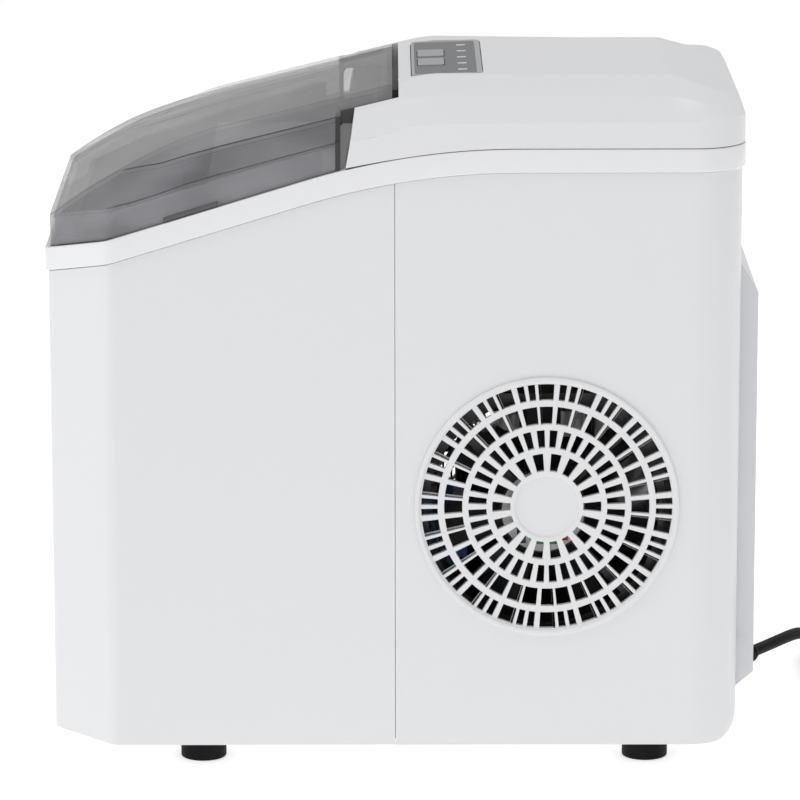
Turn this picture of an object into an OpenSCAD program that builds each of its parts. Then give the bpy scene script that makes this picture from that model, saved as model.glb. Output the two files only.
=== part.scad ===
/* [Casing] */
// Width between the two side walls
body_w = 242; // [230:1:250]
// Front of the casing, measured from the middle of the depth
front_y = -178; // [-180:0.5:-172]
// Rear wall of the casing, measured from the middle of the depth
rear_y = 166.5; // [164:0.5:168]
// Height of the casing's underside above the table
floor_z = 12.5; // [12:0.5:14]
// Wall thickness of the moulded shells
wall = 2.5; // [2:0.1:3]
// Depth of the bump on the rear wall
bump_d = 9.5; // [6:0.5:10]
// Where the front shell meets the rear shell
shell_seam_y = -5.4; // [-6:0.1:-5]

/* [Trim band] */
// Height of the trim band
band_h = 11.8; // [11:0.1:13]
// How far the trim band stands proud of the casing
band_proud = 1.5; // [1:0.1:2]
// Height of the band's lower seam at the rear
seam_z = 303.8; // [300:0.1:306]
// Slope of the band towards the front, in degrees
seam_slope = 17; // [16.5:0.1:17.5]

/* [Lid and cover] */
// Height of the flat top
top_z = 342.6; // [341:0.1:344]
// Slope of the lid, in degrees
lid_slope = 13.77; // [13.5:0.01:14]
// Wall thickness of the lid
lid_wall = 2.5; // [2:0.1:2.8]
// Wall thickness of the top cover
cover_wall = 2.8; // [2.4:0.1:3]
// Width of the lid's rear part, between the cover's two arms
tongue_w = 177; // [172:1:190]

/* [Control panel] */
// Width of the control panel
panel_w = 109; // [100:1:112]
// Depth of the control panel
panel_d = 35.5; // [34:0.5:36]
// Width of one button
button_w = 21; // [18:0.5:22]
// Depth of one button
button_d = 13.5; // [12:0.5:14]

/* [Grille] */
// Height of the grille's centre
grille_z = 135.5; // [130:0.5:140]
// Place of the grille's centre along the depth
grille_y = 69.9; // [65:0.1:75]
// Outer radius of the slotted field
grille_r = 62.9; // [62.5:0.1:63.5]

/* [Feet] */
// Diameter of one foot
foot_d = 23; // [20:1:25]

/* [Ice maker] */
// Diameter of one freezing finger
finger_d = 9; // [8:0.5:9.5]
// Distance between neighbouring fingers of both rows
finger_pitch = 13; // [12.5:0.1:13.5]

/* [Cord] */
// Diameter of the mains lead
cord_d = 6.2; // [6:0.1:6.4]

/* [Hidden] */
$fn = 48;
gap = 0.3;            // between parts that only lie against each other
half_w = body_w / 2;

// Slope changes of the trim band seen from the side: a straight slope, an arc, then level
seam_bend_y = 2;
seam_bend_r = 360;
seam_flat_y = seam_bend_y + seam_bend_r * tan(seam_slope / 2);
seam_arc_y = seam_flat_y - seam_bend_r * sin(seam_slope);
function seam(y) =
    y >= seam_flat_y ? seam_z :
    y >= seam_arc_y ? seam_z - seam_bend_r + sqrt(pow(seam_bend_r, 2) - pow(seam_flat_y - y, 2)) :
    seam_z - (seam_bend_y - y) * tan(seam_slope);
function band_top(y) = seam(y) + band_h;

// Top line seen from the side: nose arc, lid slope, a short arc, level top, rear facet
nose_y = -90;
nose_r = 240;
top_bend_y = 11.2;
top_bend_r = 60;
top_flat_y = top_bend_y + top_bend_r * tan(lid_slope / 2);
top_arc_y = top_flat_y - top_bend_r * sin(lid_slope);
rear_facet_y = 134;
rear_facet_drop = 11.6;
function lid_line(y) = top_z - (top_bend_y - y) * tan(lid_slope);
function nose_angle(y) = asin(sin(lid_slope) + (nose_y - y) / nose_r);
function top_line(y) =
    y >= rear_facet_y ? top_z - rear_facet_drop * (y - rear_facet_y) / (rear_y - rear_facet_y) :
    y >= top_flat_y ? top_z :
    y >= top_arc_y ? top_z - top_bend_r + sqrt(pow(top_bend_r, 2) - pow(top_flat_y - y, 2)) :
    y >= nose_y ? lid_line(y) :
    lid_line(nose_y) - nose_r * (cos(lid_slope) - cos(nose_angle(y)));

// Creases of the crown: half widths of the flat top and of the first slope, and their drops
flat_half = [[-178, 87], [-144.5, 80], [-105, 62], [170, 62]];
slope_half = [[-178, 87], [-144.5, 80], [-121, 92.5], [-100, 98], [170, 98]];
slope_drop = [[-144.5, 0], [-121, 4.2], [-30, 3.8], [0, 4], [91, 5.2], [134, 5.2], [150, 3.6], [161, 2], [166, 1.2]];
shoulder_drop = [
    [-178, 9.6], [-145, 9.8], [-134, 12.6], [-121, 14], [-98, 14], [-60, 13], [-28, 12.2],
    [134, 12.2], [150, 6.5], [161, 2.8], [166, 2]
];

// Outline helpers for convex outlines listed counter-clockwise
function unit(v) = v / norm(v);
function outward(a, b) = unit([b[1] - a[1], a[0] - b[0]]);
function inset(pts, t) = [
    for (i = [0:len(pts) - 1])
        let (n = len(pts), p = pts[i],
             n1 = outward(pts[(i + n - 1) % n], p),
             n2 = outward(p, pts[(i + 1) % n]))
        p - t * (n1 + n2) / (1 + n1 * n2)
];
function arc_at(a, p, b, r, steps) =
    let (u = unit(a - p), v = unit(b - p), half = acos(u * v) / 2,
         c = p + unit(u + v) * r / sin(half),
         s = p + u * r / tan(half) - c, e = p + v * r / tan(half) - c)
    [for (k = [0:steps]) c + r * unit(s * (1 - k / steps) + e * k / steps)];
function rounded(pts, radii, steps = 5) = [
    for (i = [0:len(pts) - 1])
        let (n = len(pts))
        for (q = arc_at(pts[(i + n - 1) % n], pts[i], pts[(i + 1) % n], radii[i], steps)) q
];

// Plan outline of the casing, moved inwards by t
front_half = 87;
chamfer_y = -147;
plan_corners = [
    [front_half, front_y], [half_w, chamfer_y], [half_w, rear_y],
    [-half_w, rear_y], [-half_w, chamfer_y], [-front_half, front_y]
];
plan_radii = [6, 9, 25, 25, 9, 6];
function plan(t) = rounded(inset(plan_corners, t), [for (r = plan_radii) max(r - t, 0.6)]);

// Side stations used along the seam, from front to rear
seam_ys = concat([-200], [for (k = [0:8]) seam_arc_y + (seam_flat_y - seam_arc_y) * k / 8], [200]);

module column(t, z0 = 0, z1 = 400) {
    translate([0, 0, z0])
        linear_extrude(z1 - z0)
            polygon(plan(t));
}

// A plate in the side view, drawn as [y, z] points and extruded across the width
module side_slab(pts, half = 200) {
    translate([-half, 0, 0])
        rotate([90, 0, 90])
            linear_extrude(2 * half)
                polygon(pts);
}

module between_seams(lo, hi, y0 = -200, y1 = 200) {
    ys = [for (y = seam_ys) if (y > y0 && y < y1) y];
    stations = concat([y0], ys, [y1]);
    side_slab(concat(
        [for (y = stations) [y, seam(y) + lo]],
        [for (k = [len(stations) - 1:-1:0]) [stations[k], seam(stations[k]) + hi]]));
}

module below_seam(drop, z0, y0 = -200, y1 = 200) {
    ys = [for (y = seam_ys) if (y > y0 && y < y1) y];
    stations = concat([y0], ys, [y1]);
    side_slab(concat(
        [[y1, z0]],
        [for (k = [len(stations) - 1:-1:0]) [stations[k], seam(stations[k]) - drop]],
        [[y0, z0]]));
}

// Casing volume: plan outline cut by the seam above and by a rounded lower rear edge
rear_edge_r = 13;
module casing(t, drop, z0) {
    intersection() {
        column(t);
        below_seam(drop, z0);
        side_slab(rounded(
            [[front_y - 2, z0], [rear_y - t, z0], [rear_y - t, 400], [front_y - 2, 400]],
            [3, rear_edge_r - t, 1, 1], 6));
    }
}

bump_half = 88;
module bump(t) {
    y1 = rear_y + bump_d - t;
    side_slab([
        [rear_y - 4, 33 + t], [rear_y - t, 33 + t], [y1, 41 + t],
        [y1, 237 - t], [rear_y - t, 253 - t], [rear_y - 4, 253 - t]
    ], bump_half - t);
}

foot_spots = [[-96, -102.5], [96, -102.5], [96, 120.8], [-96, 120.8]];
module at_feet() {
    for (p = foot_spots)
        translate([p[0], p[1], 0])
            children();
}

// Underside opening that the base pan closes
module underside_opening() {
    translate([-82, -150, floor_z - 1])
        cube([164, 300, wall + 2]);
}

drain_y = -120;

module front_shell() {
    color("whitesmoke")
        difference() {
            intersection() {
                casing(0, gap, floor_z);
                translate([-200, -200, 0])
                    cube([400, 200 + shell_seam_y - 0.1, 400]);
            }
            casing(wall, -20, floor_z + wall);
            underside_opening();
            at_feet()
                cylinder(d = 6, h = 20);
        }
}

// Vent slots in the rear bump
vent_slots = 9;
vent_pitch = 13;
vent_z = 100;

// The lead leaves the bump at a slant towards the middle of the back
gland_turn = 55;
gland_tip = [54, 178, 42];
gland_len = 22;
module along_gland(from_tip) {
    translate(gland_tip)
        rotate([0, 0, gland_turn])
            rotate([90, 0, 0])
                translate([0, 0, from_tip])
                    children();
}

screw_x = 92;        // sunk screws beside the bump
screw_zs = [60, 280];

module rear_shell() {
    color("whitesmoke")
        difference() {
            union() {
                difference() {
                    union() {
                        intersection() {
                            casing(0, gap, floor_z);
                            translate([-200, shell_seam_y + 0.1, 0])
                                cube([400, 400, 400]);
                        }
                        bump(0);
                    }
                    casing(wall, -20, floor_z + wall);
                    bump(wall);
                }
                intersection() {
                    along_gland(0)
                        cylinder(d = 18, h = 26);
                    union() {
                        casing(0.5, gap, floor_z);
                        bump(0.5);
                    }
                }
            }
            underside_opening();
            at_feet()
                cylinder(d = 6, h = 20);
            translate([-200, grille_y, grille_z])
                rotate([0, 90, 0])
                    cylinder(r = grille_r + 1.2, h = 400, $fn = 96);
            for (k = [0:vent_slots - 1])
                translate([-50, rear_y - 5, vent_z + k * vent_pitch])
                    cube([100, 30, 5]);
            along_gland(-20)
                cylinder(d = 12.6, h = 50);
            for (side = [-1, 1])
                for (z = screw_zs)
                    translate([side * screw_x, rear_y - 5, z])
                        rotate([-90, 0, 0])
                            cylinder(d = 7.6, h = 10);
        }
}

module base_pan() {
    color("gainsboro")
        difference() {
            union() {
                intersection() {
                    column(3, floor_z + wall + 0.2, floor_z + wall + 3.2);
                    translate([-200, -200, 0])
                        cube([400, 350, 100]);
                }
                at_feet()
                    translate([0, 0, floor_z + wall + 1])
                        cylinder(d = 12, h = 12);
            }
            at_feet()
                cylinder(d = 4.2, h = 40);
            translate([0, drain_y, 0])
                cylinder(d = 19, h = 40);
        }
}

module feet() {
    color("dimgray")
        at_feet()
            difference() {
                rotate_extrude()
                    polygon([
                        [0, 0], [foot_d / 2 - 1, 0], [foot_d / 2, 1],
                        [foot_d / 2, floor_z - gap / 2], [0, floor_z - gap / 2]
                    ]);
                translate([0, 0, -1])
                    cylinder(d = 10, h = 6);
                cylinder(d = 4.6, h = 20);
            }
}

module foot_screws() {
    color("silver")
        at_feet() {
            translate([0, 0, 2.8])
                cylinder(d = 8, h = 2.1);
            translate([0, 0, 4.8])
                cylinder(d = 4, h = 20);
        }
}

module trim_band() {
    color("whitesmoke")
        intersection() {
            between_seams(0, band_h);
            difference() {
                column(-band_proud);
                column(9);
            }
        }
}

// One cross-section of the crown at y, lowered and narrowed by t, down to zb
function crown_points(y, t, zb) =
    let (z = top_line(y) - t,
         x1 = lookup(y, flat_half), x2 = lookup(y, slope_half),
         z2 = z - lookup(y, slope_drop), z3 = z - lookup(y, shoulder_drop),
         x3 = half_w - 2.5 - t, x4 = half_w + 3 - t, z4 = z3 - 3)
    [
        [-x4, y, zb], [-x4, y, z4], [-x3, y, z3], [-x2, y, z2], [-x1, y, z],
        [x1, y, z], [x2, y, z2], [x3, y, z3], [x4, y, z4], [x4, y, zb]
    ];

// Crown volume from the first to the last station, above the band by rise
module crown(stations, t, rise) {
    n = 10;
    last = len(stations) - 1;
    points = [for (y = stations) for (p = crown_points(y, t, band_top(y) + rise)) p];
    sides = [
        for (s = [0:last - 1]) for (k = [0:n - 1])
            let (a = s * n + k, b = s * n + (k + 1) % n)
            for (tri = [[a, a + n, b], [b, a + n, b + n]]) tri
    ];
    front_cap = [for (k = [1:n - 2]) [0, k, k + 1]];
    rear_cap = [for (k = [1:n - 2]) [last * n, last * n + k + 1, last * n + k]];
    polyhedron(points, concat(sides, front_cap, rear_cap));
}

lid_ys = [-179, -168, -160, -152, -144.5, -133, -121, -112, -105, -97, -90, -60, -30, -4];
cover_ys = [-33, -20, -6, 0, 4, 8, 12, 18.5, 40, 91, 134, 142, 150, 161, 168];
lid_inset = 1;
arm_front_y = -28;   // the cover's arms begin here
lid_end_y = -32.1;   // rear end of the lid's skirt
lid_rear_y = -6.6;   // rear end of its tongue
hinge_y = -14;
hinge_z = 326.5;
knuckle_d = 6.4;     // eyes of the hinge under both sides of the tongue
knuckle_w = 11.5;
pin_d = 3;

// Everything behind the lid: outside the tongue from the arms back, and behind the hinge
module behind_lid(t) {
    for (side = [-1, 1])
        translate([side * (tongue_w / 2 - t + 100), 100 + lid_end_y - t, 300])
            cube([200, 200, 200], center = true);
    translate([-200, lid_rear_y - t, 200])
        cube([400, 200, 200]);
}

module across(y, z, x0, x1, d) {
    translate([x0, y, z])
        rotate([0, 90, 0])
            cylinder(d = d, h = x1 - x0);
}

module lid() {
    half = tongue_w / 2;
    tongue_low = hinge_z - 3.5;
    color([0.35, 0.35, 0.37, 0.6])
        difference() {
            union() {
                difference() {
                    intersection() {
                        crown(lid_ys, 0, gap);
                        column(lid_inset);
                    }
                    difference() {
                        intersection() {
                            crown(lid_ys, lid_wall, -8);
                            column(lid_inset + lid_wall);
                        }
                        behind_lid(lid_wall);
                    }
                    behind_lid(0);
                    // the tongue has only a low edge, no skirt
                    translate([-200, lid_end_y, 280])
                        cube([400, 60, tongue_low - 280]);
                }
                for (x = [-half, half - knuckle_w])
                    across(hinge_y, hinge_z, x, x + knuckle_w, knuckle_d);
            }
            for (x = [-half - 1, half - 9])
                across(hinge_y, hinge_z, x, x + 10, pin_d + 0.1);
        }
}

module lid_hinge_pins() {
    color("silver")
        for (side = [-1, 1])
            mirror([side < 0 ? 1 : 0, 0, 0])
                across(hinge_y, hinge_z, tongue_w / 2 - 8, tongue_w / 2 + 6, pin_d);
}

// Frame of the control panel: origin at the middle of its top face
panel_tilt = 2;
module on_panel() {
    translate([0, 21, 342.4])
        rotate([panel_tilt, 0, 0])
            children();
}
button_x = 14.2;
button_y = -panel_d / 2 + 3.2 + button_d / 2;
light_x = 20;
light_y = -panel_d / 2 + 25;

module rounded_plate(w, d, r, z0, z1) {
    translate([0, 0, z0])
        linear_extrude(z1 - z0)
            polygon(rounded([
                [w / 2, -d / 2], [w / 2, d / 2], [-w / 2, d / 2], [-w / 2, -d / 2]
            ], [r, r, r, r]));
}

cover_lip_y = -3.4;  // front edge of the cover's lip over the lid's rear end
cover_face_y = 0.3;  // its front wall stands back, clear of the turning lid
module top_cover() {
    step = tongue_w / 2 + 0.6;
    color("whitesmoke")
        difference() {
            intersection() {
                crown(cover_ys, 0, gap);
                column(-1.2);
            }
            difference() {
                intersection() {
                    crown(cover_ys, cover_wall, -8);
                    column(cover_wall - 1.2);
                }
                translate([-step - 1, cover_face_y, 200])
                    cube([2 * (step + 1), cover_wall, 200]);
                for (side = [-1, 1])
                    translate([side * (step + cover_wall / 2) - cover_wall / 2, -100, 200])
                        cube([cover_wall, 100 + cover_face_y + cover_wall, 200]);
                translate([-200, -100, 200])
                    cube([400, 100 + arm_front_y + cover_wall, 200]);
                for (side = [-1, 1])
                    across(hinge_y, hinge_z, side * (step + 4) - 4, side * (step + 4) + 4, 9);
            }
            translate([-step, -100, 200])
                cube([2 * step, 100 + cover_lip_y, 200]);
            side_slab([[-60, 200], [-30.2, 200], [-29.8, 304], [-24.7, 333], [-24.2, 400], [-60, 400]]);
            for (side = [-1, 1])
                across(hinge_y, hinge_z, side * (step + 3.6) - 3.6, side * (step + 3.6) + 3.6, pin_d + 0.1);
            on_panel() {
                rounded_plate(panel_w + 0.8, panel_d + 0.8, 4.4, -2.2, 10);
                rounded_plate(panel_w - 8, panel_d - 8, 2, -12, 0);
            }
        }
}

module control_panel() {
    color("gray")
        on_panel()
            difference() {
                rounded_plate(panel_w, panel_d, 4, -2, 0);
                translate([0, 0, -0.5])
                    rounded_plate(panel_w - 5, panel_d - 6.5, 3, 0, 2);
                for (side = [-1, 1])
                    translate([side * button_x, button_y, 0])
                        rounded_plate(button_w + 0.6, button_d + 0.6, 1.8, -3, 1);
                for (k = [-2:2])
                    translate([k * light_x, light_y, 0])
                        cube([1.6, 4, 8], center = true);
            }
}

module button(x) {
    color("lightgray")
        on_panel()
            translate([x, button_y, 0]) {
                rounded_plate(button_w, button_d, 1.5, -1.2, 0.2);
                translate([-3, -3, -6])
                    cube([6, 6, 5]);
            }
}

module power_button() {
    button(button_x);
}

module select_button() {
    button(-button_x);
}

module indicator_lights() {
    color("honeydew")
        on_panel()
            for (k = [-2:2])
                translate([k * light_x, light_y, -1.3])
                    cube([1.4, 3.7, 1.8], center = true);
}

module display_board() {
    color("seagreen")
        on_panel() {
            translate([-48, -13, -11.6])
                cube([96, 26, 1.6]);
            for (side = [-1, 1])
                translate([side * button_x - 3, button_y - 3, -10])
                    cube([6, 6, 3]);
            for (k = [-2:2])
                translate([k * light_x, light_y, -10.2])
                    cylinder(d = 3, h = 5);
        }
}

// Grille: rings of slots, each as [inner radius, outer radius, slot centres and widths in degrees]
function slot_row(step, spots) = [for (a = [0:step:359]) for (s = spots) [a + s[0], s[1]]];
ring_slots = [
    [18.1, 27.1, slot_row(20, [[10, 11.4]])],
    [30, 39, slot_row(20, [[4.85, 5.9], [15.15, 5.9]])],
    [42, 51, slot_row(20, [[0, 6], [10, 8.7]])],
    [54.2, grille_r - 0.5, slot_row(20, [[0, 6.8], [7.5, 3.1], [12.5, 3.1]])]
];
function sector(r0, r1, a, width) = concat(
    [for (k = [0:2]) r1 * [sin(a + width * (k / 2 - 0.5)), cos(a + width * (k / 2 - 0.5))]],
    [for (k = [2:-1:0]) r0 * [sin(a + width * (k / 2 - 0.5)), cos(a + width * (k / 2 - 0.5))]]);

// Drawn with its outer face upwards at z = 0; the middle disc is a little sunk
module grille() {
    difference() {
        rotate_extrude($fn = 96)
            polygon([
                [0, -3], [grille_r + 0.9, -3], [grille_r + 0.9, 0.1], [grille_r + 3, 0.1],
                [grille_r + 3, 1.6], [grille_r + 0.2, 1.6], [grille_r, 0.2],
                [18, 0.2], [16, 0.2], [15.7, -0.6], [0, -0.6]
            ]);
        translate([0, 0, -10])
            linear_extrude(20)
                for (ring = ring_slots)
                    for (s = ring[2])
                        polygon(sector(ring[0], ring[1], s[0], s[1]));
    }
}

module right_grille() {
    color("whitesmoke")
        translate([half_w, grille_y, grille_z])
            rotate([0, 90, 0])
                rotate([0, 0, 90])
                    grille();
}

module left_grille() {
    color("whitesmoke")
        translate([-half_w, grille_y, grille_z])
            rotate([0, -90, 0])
                rotate([0, 0, -90])
                    grille();
}

// Chamber under the lid
chamber_rear_y = -14;
liner_t = 12.5;      // liner's outer face, measured inwards from the casing
chamber_z = 50;
rim_rise = 10;
rear_rise = 7;       // the liner's rear wall stays lower, clear of the lid's hinge
rear_half = tongue_w / 2 - 1.5;  // and that wall fits between the cover's arms
rim_rear_y = -41.5;  // the raised rim's side walls end in front of the cover's arms
line_z = 284;        // height of the freezing tube
line_xs = [-84, -96];

module tub(t, z0, y1, rise) {
    intersection() {
        column(t, z0, 400);
        below_seam(-band_h - rise, z0 - 1, -200, y1);
    }
}

module line_holes(d) {
    for (x = line_xs)
        translate([x, -40, line_z])
            rotate([-90, 0, 0])
                cylinder(d = d, h = 40);
}

ledge_z = 126;
module ice_chamber_liner() {
    color("gainsboro")
        difference() {
            union() {
                difference() {
                    union() {
                        tub(liner_t, chamber_z, chamber_rear_y, -1.2);
                        tub(liner_t, chamber_z, rim_rear_y, rim_rise);
                        intersection() {
                            tub(liner_t, chamber_z, chamber_rear_y, rear_rise);
                            translate([-rear_half, -100, 0])
                                cube([2 * rear_half, 100, 400]);
                        }
                        translate([0, drain_y, floor_z + 2])
                            cylinder(d = 18, h = chamber_z - floor_z - 1);
                        intersection() {
                            column(4.2);
                            between_seams(band_h + gap, band_h + 2, -200, rim_rear_y);
                        }
                    }
                    tub(liner_t + wall, chamber_z + wall, chamber_rear_y - wall, 60);
                }
                // ledges that carry the basket
                intersection() {
                    column(liner_t + 1, ledge_z, ledge_z + 4);
                    for (side = [-1, 1])
                        translate([side * 100 - 16, -157, 0])
                            cube([32, 50, 400]);
                }
            }
            translate([0, drain_y, 0])
                cylinder(d = 12, h = 100);
            line_holes(11);
        }
}

module insulation_foam() {
    color("khaki")
        difference() {
            tub(3.2, 36, -9.5, -band_h - 1.5);
            tub(liner_t - 0.4, chamber_z - 0.4, chamber_rear_y + 0.4, 60);
            translate([0, drain_y, 0])
                cylinder(d = 19, h = 100);
            line_holes(11);
        }
}

module bulkhead() {
    color("silver")
        difference() {
            intersection() {
                column(3);
                below_seam(2, floor_z + wall + 3.3, -9.2, -7.2);
            }
            line_holes(11);
        }
}

// Slotted basket that catches the ice
basket_t = 24;
basket_rear_y = -108;
basket_z = ledge_z + 4 + gap;
basket_h = 112;
basket_wall = 2;
module ice_basket() {
    color("white")
        difference() {
            intersection() {
                column(basket_t, basket_z, basket_z + basket_h);
                translate([-200, -200, 0])
                    cube([400, 200 + basket_rear_y, 400]);
            }
            intersection() {
                column(basket_t + basket_wall, basket_z + basket_wall, 400);
                translate([-200, -200, 0])
                    cube([400, 200 + basket_rear_y - basket_wall, 400]);
            }
            for (x = [-60:15:60])
                for (z = [basket_z + 14, basket_z + 58])
                    translate([x - 3, -200, z])
                        cube([6, 150, 34]);
            for (x = [-75:15:75])
                for (y = [-142, -130, -118])
                    translate([x, y, 0])
                        cylinder(d = 6, h = 200);
        }
}

// Freezing fingers over the tray, five behind and four in front
row_ys = [-72, -90];
finger_z = 244;
tube_d = 9;
function finger_xs(row) = row == 0 ? [-4, -2, 0, 2, 4] : [-3, -1, 1, 3];

module evaporator_fingers() {
    color("peru")
        for (row = [0, 1])
            for (k = finger_xs(row))
                translate([k * finger_pitch, row_ys[row], 0]) {
                    translate([0, 0, finger_z + finger_d / 2])
                        sphere(d = finger_d);
                    translate([0, 0, finger_z + finger_d / 2])
                        cylinder(d = finger_d, h = line_z - finger_z - finger_d / 2 - tube_d / 2 - 0.1);
                }
}

// A run of pipe through a list of points, with round corners
module pipe(pts, d) {
    for (i = [0:len(pts) - 2]) {
        a = pts[i];
        v = pts[i + 1] - a;
        translate(a)
            rotate([0, acos(v[2] / norm(v)), atan2(v[1], v[0])])
                cylinder(d = d, h = norm(v), $fn = 24);
    }
    for (i = [1:1:len(pts) - 2])
        translate(pts[i])
            sphere(d = d, $fn = 24);
}

// Ring k of a tube swept along a route: the mean direction at each point sets its plane,
// and ref, which no stretch of the route follows, sets how the ring is turned
function route_dir(r, k) =
    k == 0 ? unit(r[1] - r[0]) :
    k == len(r) - 1 ? unit(r[k] - r[k - 1]) :
    unit(unit(r[k] - r[k - 1]) + unit(r[k + 1] - r[k]));
function ring(r, k, radius, sides, ref) =
    let (d = route_dir(r, k), u = unit(cross(ref, d)), v = cross(d, u))
    [for (i = [0:sides - 1]) r[k] + radius * (cos(360 * i / sides) * u + sin(360 * i / sides) * v)];

module swept_tube(route, radius, ref) {
    sides = 10;
    n = len(route);
    points = [for (k = [0:n - 1]) for (p = ring(route, k, radius, sides, ref)) p];
    walls = [
        for (k = [0:n - 2]) for (i = [0:sides - 1])
            let (a = k * sides + i, b = k * sides + (i + 1) % sides)
            for (tri = [[a, a + sides, b], [b, a + sides, b + sides]]) tri
    ];
    start = [for (i = [1:sides - 2]) [0, i, i + 1]];
    finish = [for (i = [1:sides - 2]) [(n - 1) * sides, (n - 1) * sides + i + 1, (n - 1) * sides + i]];
    polyhedron(points, concat(walls, start, finish));
}

// The same points with every corner turned into a bend of radius r
function bent(pts, r) = concat(
    [pts[0]],
    [for (i = [1:len(pts) - 2]) for (q = arc_at(pts[i - 1], pts[i], pts[i + 1], r, 3)) q],
    [pts[len(pts) - 1]]);

u_bend_x = 56;
line_end_y = 14;
module evaporator_tube() {
    turn_x = u_bend_x + 9;
    color("chocolate")
        swept_tube(bent([
            [line_xs[0], line_end_y, line_z], [line_xs[0], row_ys[0], line_z],
            [turn_x, row_ys[0], line_z], [turn_x, row_ys[1], line_z],
            [line_xs[1], row_ys[1], line_z], [line_xs[1], line_end_y, line_z]
        ], 8.9), tube_d / 2, [0, 0, 1]);
}

// Water tray that tips back about its rear top edge
tray_y = -58;
tray_z = 262;
tray_half = 70;
tray_reach = 46;
tray_h = 28;
tray_wall = 2;
shaft_d = 6;

module water_tray() {
    color("white")
        difference() {
            union() {
                translate([-tray_half, tray_y - tray_reach, tray_z - tray_h])
                    cube([2 * tray_half, tray_reach, tray_h]);
                across(tray_y, tray_z, -tray_half, tray_half, 10);
            }
            translate([-tray_half + tray_wall, tray_y - tray_reach + tray_wall, tray_z - tray_h + tray_wall])
                cube([2 * (tray_half - tray_wall), tray_reach - tray_wall - 5.2, tray_h + 10]);
            across(tray_y, tray_z, -tray_half - 1, tray_half + 1, shaft_d + 0.1);
        }
}

module tray_shaft() {
    color("silver")
        across(tray_y, tray_z, -76, 88, shaft_d);
}

bracket_x = 73;
module evaporator_bracket() {
    color("white")
        difference() {
            union() {
                for (side = [-1, 1])
                    translate([side * (bracket_x + 1) - 1, -98, 252])
                        cube([2, 98 - 17, 44]);
                translate([-bracket_x - 2, -98, 293.5])
                    cube([2 * bracket_x + 4, 98 - 17, 2.5]);
                translate([-bracket_x - 2, -19.5, 252])
                    cube([2 * bracket_x + 4, 2.5, 44]);
            }
            across(tray_y, tray_z, -100, 100, shaft_d + 0.12);
            for (y = row_ys)
                across(y, line_z, -100, 0, 11);
            across(hose_y, hose_z, 0, 100, 7.8);
        }
}

module tray_motor() {
    color("darkgray")
        difference() {
            union() {
                across(tray_y, tray_z, 78, 96, 40);
                across(tray_y, tray_z, 75.2, 79, 12);
            }
            across(tray_y, tray_z, 70, 88.4, shaft_d + 0.12);
        }
}

// Comb that pushes the freed ice forwards between the fingers
comb_z = 271;
module ice_pusher() {
    color("white") {
        translate([-64, -52, comb_z - 3])
            cube([128, 4, 8]);
        for (k = [-4.5:1:4.5])
            translate([k * finger_pitch - 1, -78, comb_z - 2])
                cube([2, 27, 6]);
    }
}

module ice_full_sensors() {
    color("black")
        for (side = [-1, 1])
            translate([side * 102.9 - 2.8, -118, 250])
                cube([5.6, 12, 14]);
}

module water_pump() {
    color("darkslategray")
        translate([82, -42, chamber_z + wall + 0.1]) {
            cylinder(d = 36, h = 26);
            cylinder(d = 20, h = 30);
            translate([0, 0, 29])
                cylinder(d = 8, h = 8);
        }
}

hose_y = -84;
hose_z = 272;
module pump_hose() {
    color("lightgray")
        swept_tube(bent([
            [82, -42, chamber_z + wall + 37.3], [82, -42, 108], [82, -27, 130], [82, -27, 288],
            [82, hose_y, 288], [82, hose_y, hose_z], [65, hose_y, hose_z]
        ], 7.5), 3.5, [1, 2, 3]);
}

module float_stem() {
    color("white")
        translate([-90, -42, chamber_z + wall + 0.05]) {
            cylinder(d = 12, h = 3);
            cylinder(d = 5, h = 46);
            translate([0, 0, 43])
                cylinder(d = 9, h = 3);
        }
}

module float_ring() {
    color("ivory")
        translate([-90, -42, chamber_z + wall + 3.5])
            difference() {
                cylinder(d = 20, h = 16);
                translate([0, 0, -1])
                    cylinder(d = 5.7, h = 20);
            }
}

module drain_plug() {
    color("black")
        translate([0, drain_y, 0]) {
            translate([0, 0, 9])
                cylinder(d = 22, h = 5);
            translate([0, 0, 8])
                cylinder(d = 11.9, h = 26);
            translate([-8, -1.5, 5])
                cube([16, 3, 5]);
        }
}

// Refrigeration side
comp_x = -8;
comp_y = 78;
comp_r = 52;
comp_z = 30;
comp_h = 118;
deck_z = floor_z + wall + 3.3;
module at_bolts() {
    for (x = [-56, 56])
        for (y = [-40, 40])
            translate([comp_x + x, comp_y + y, 0])
                children();
}

module compressor() {
    color([0.15, 0.15, 0.16])
        difference() {
            union() {
                translate([comp_x, comp_y, comp_z])
                    rotate_extrude($fn = 72)
                        polygon([
                            [0, 0], [comp_r - 14, 0], [comp_r - 4, 4], [comp_r, 14], [comp_r, 56],
                            [comp_r + 2, 56], [comp_r + 2, 61], [comp_r, 61], [comp_r, comp_h - 22],
                            [comp_r - 6, comp_h - 8], [comp_r - 22, comp_h], [0, comp_h]
                        ]);
                translate([comp_x, comp_y, comp_z - 3.5])
                    rounded_plate(130, 98, 12, 0, 4);
                translate([comp_x - 24, comp_y - 14, comp_z + comp_h - 4])
                    cylinder(d = 8, h = 20);
                translate([comp_x + 22, comp_y + 18, comp_z + comp_h - 4])
                    cylinder(d = 6, h = 20);
            }
            at_bolts()
                cylinder(d = 9, h = 200);
        }
}

module compressor_terminal_cover() {
    color("black")
        difference() {
            translate([comp_x - 22, comp_y - comp_r - 14, 70])
                cube([44, 34, 40]);
            translate([comp_x, comp_y, 0])
                cylinder(r = comp_r + 2.4, h = 200, $fn = 72);
        }
}

module compressor_grommets() {
    color("black")
        at_bolts()
            translate([0, 0, deck_z])
                difference() {
                    cylinder(d = 18, h = comp_z - 3.6 - deck_z);
                    translate([0, 0, -1])
                        cylinder(d = 6.4, h = 20);
                }
}

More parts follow.
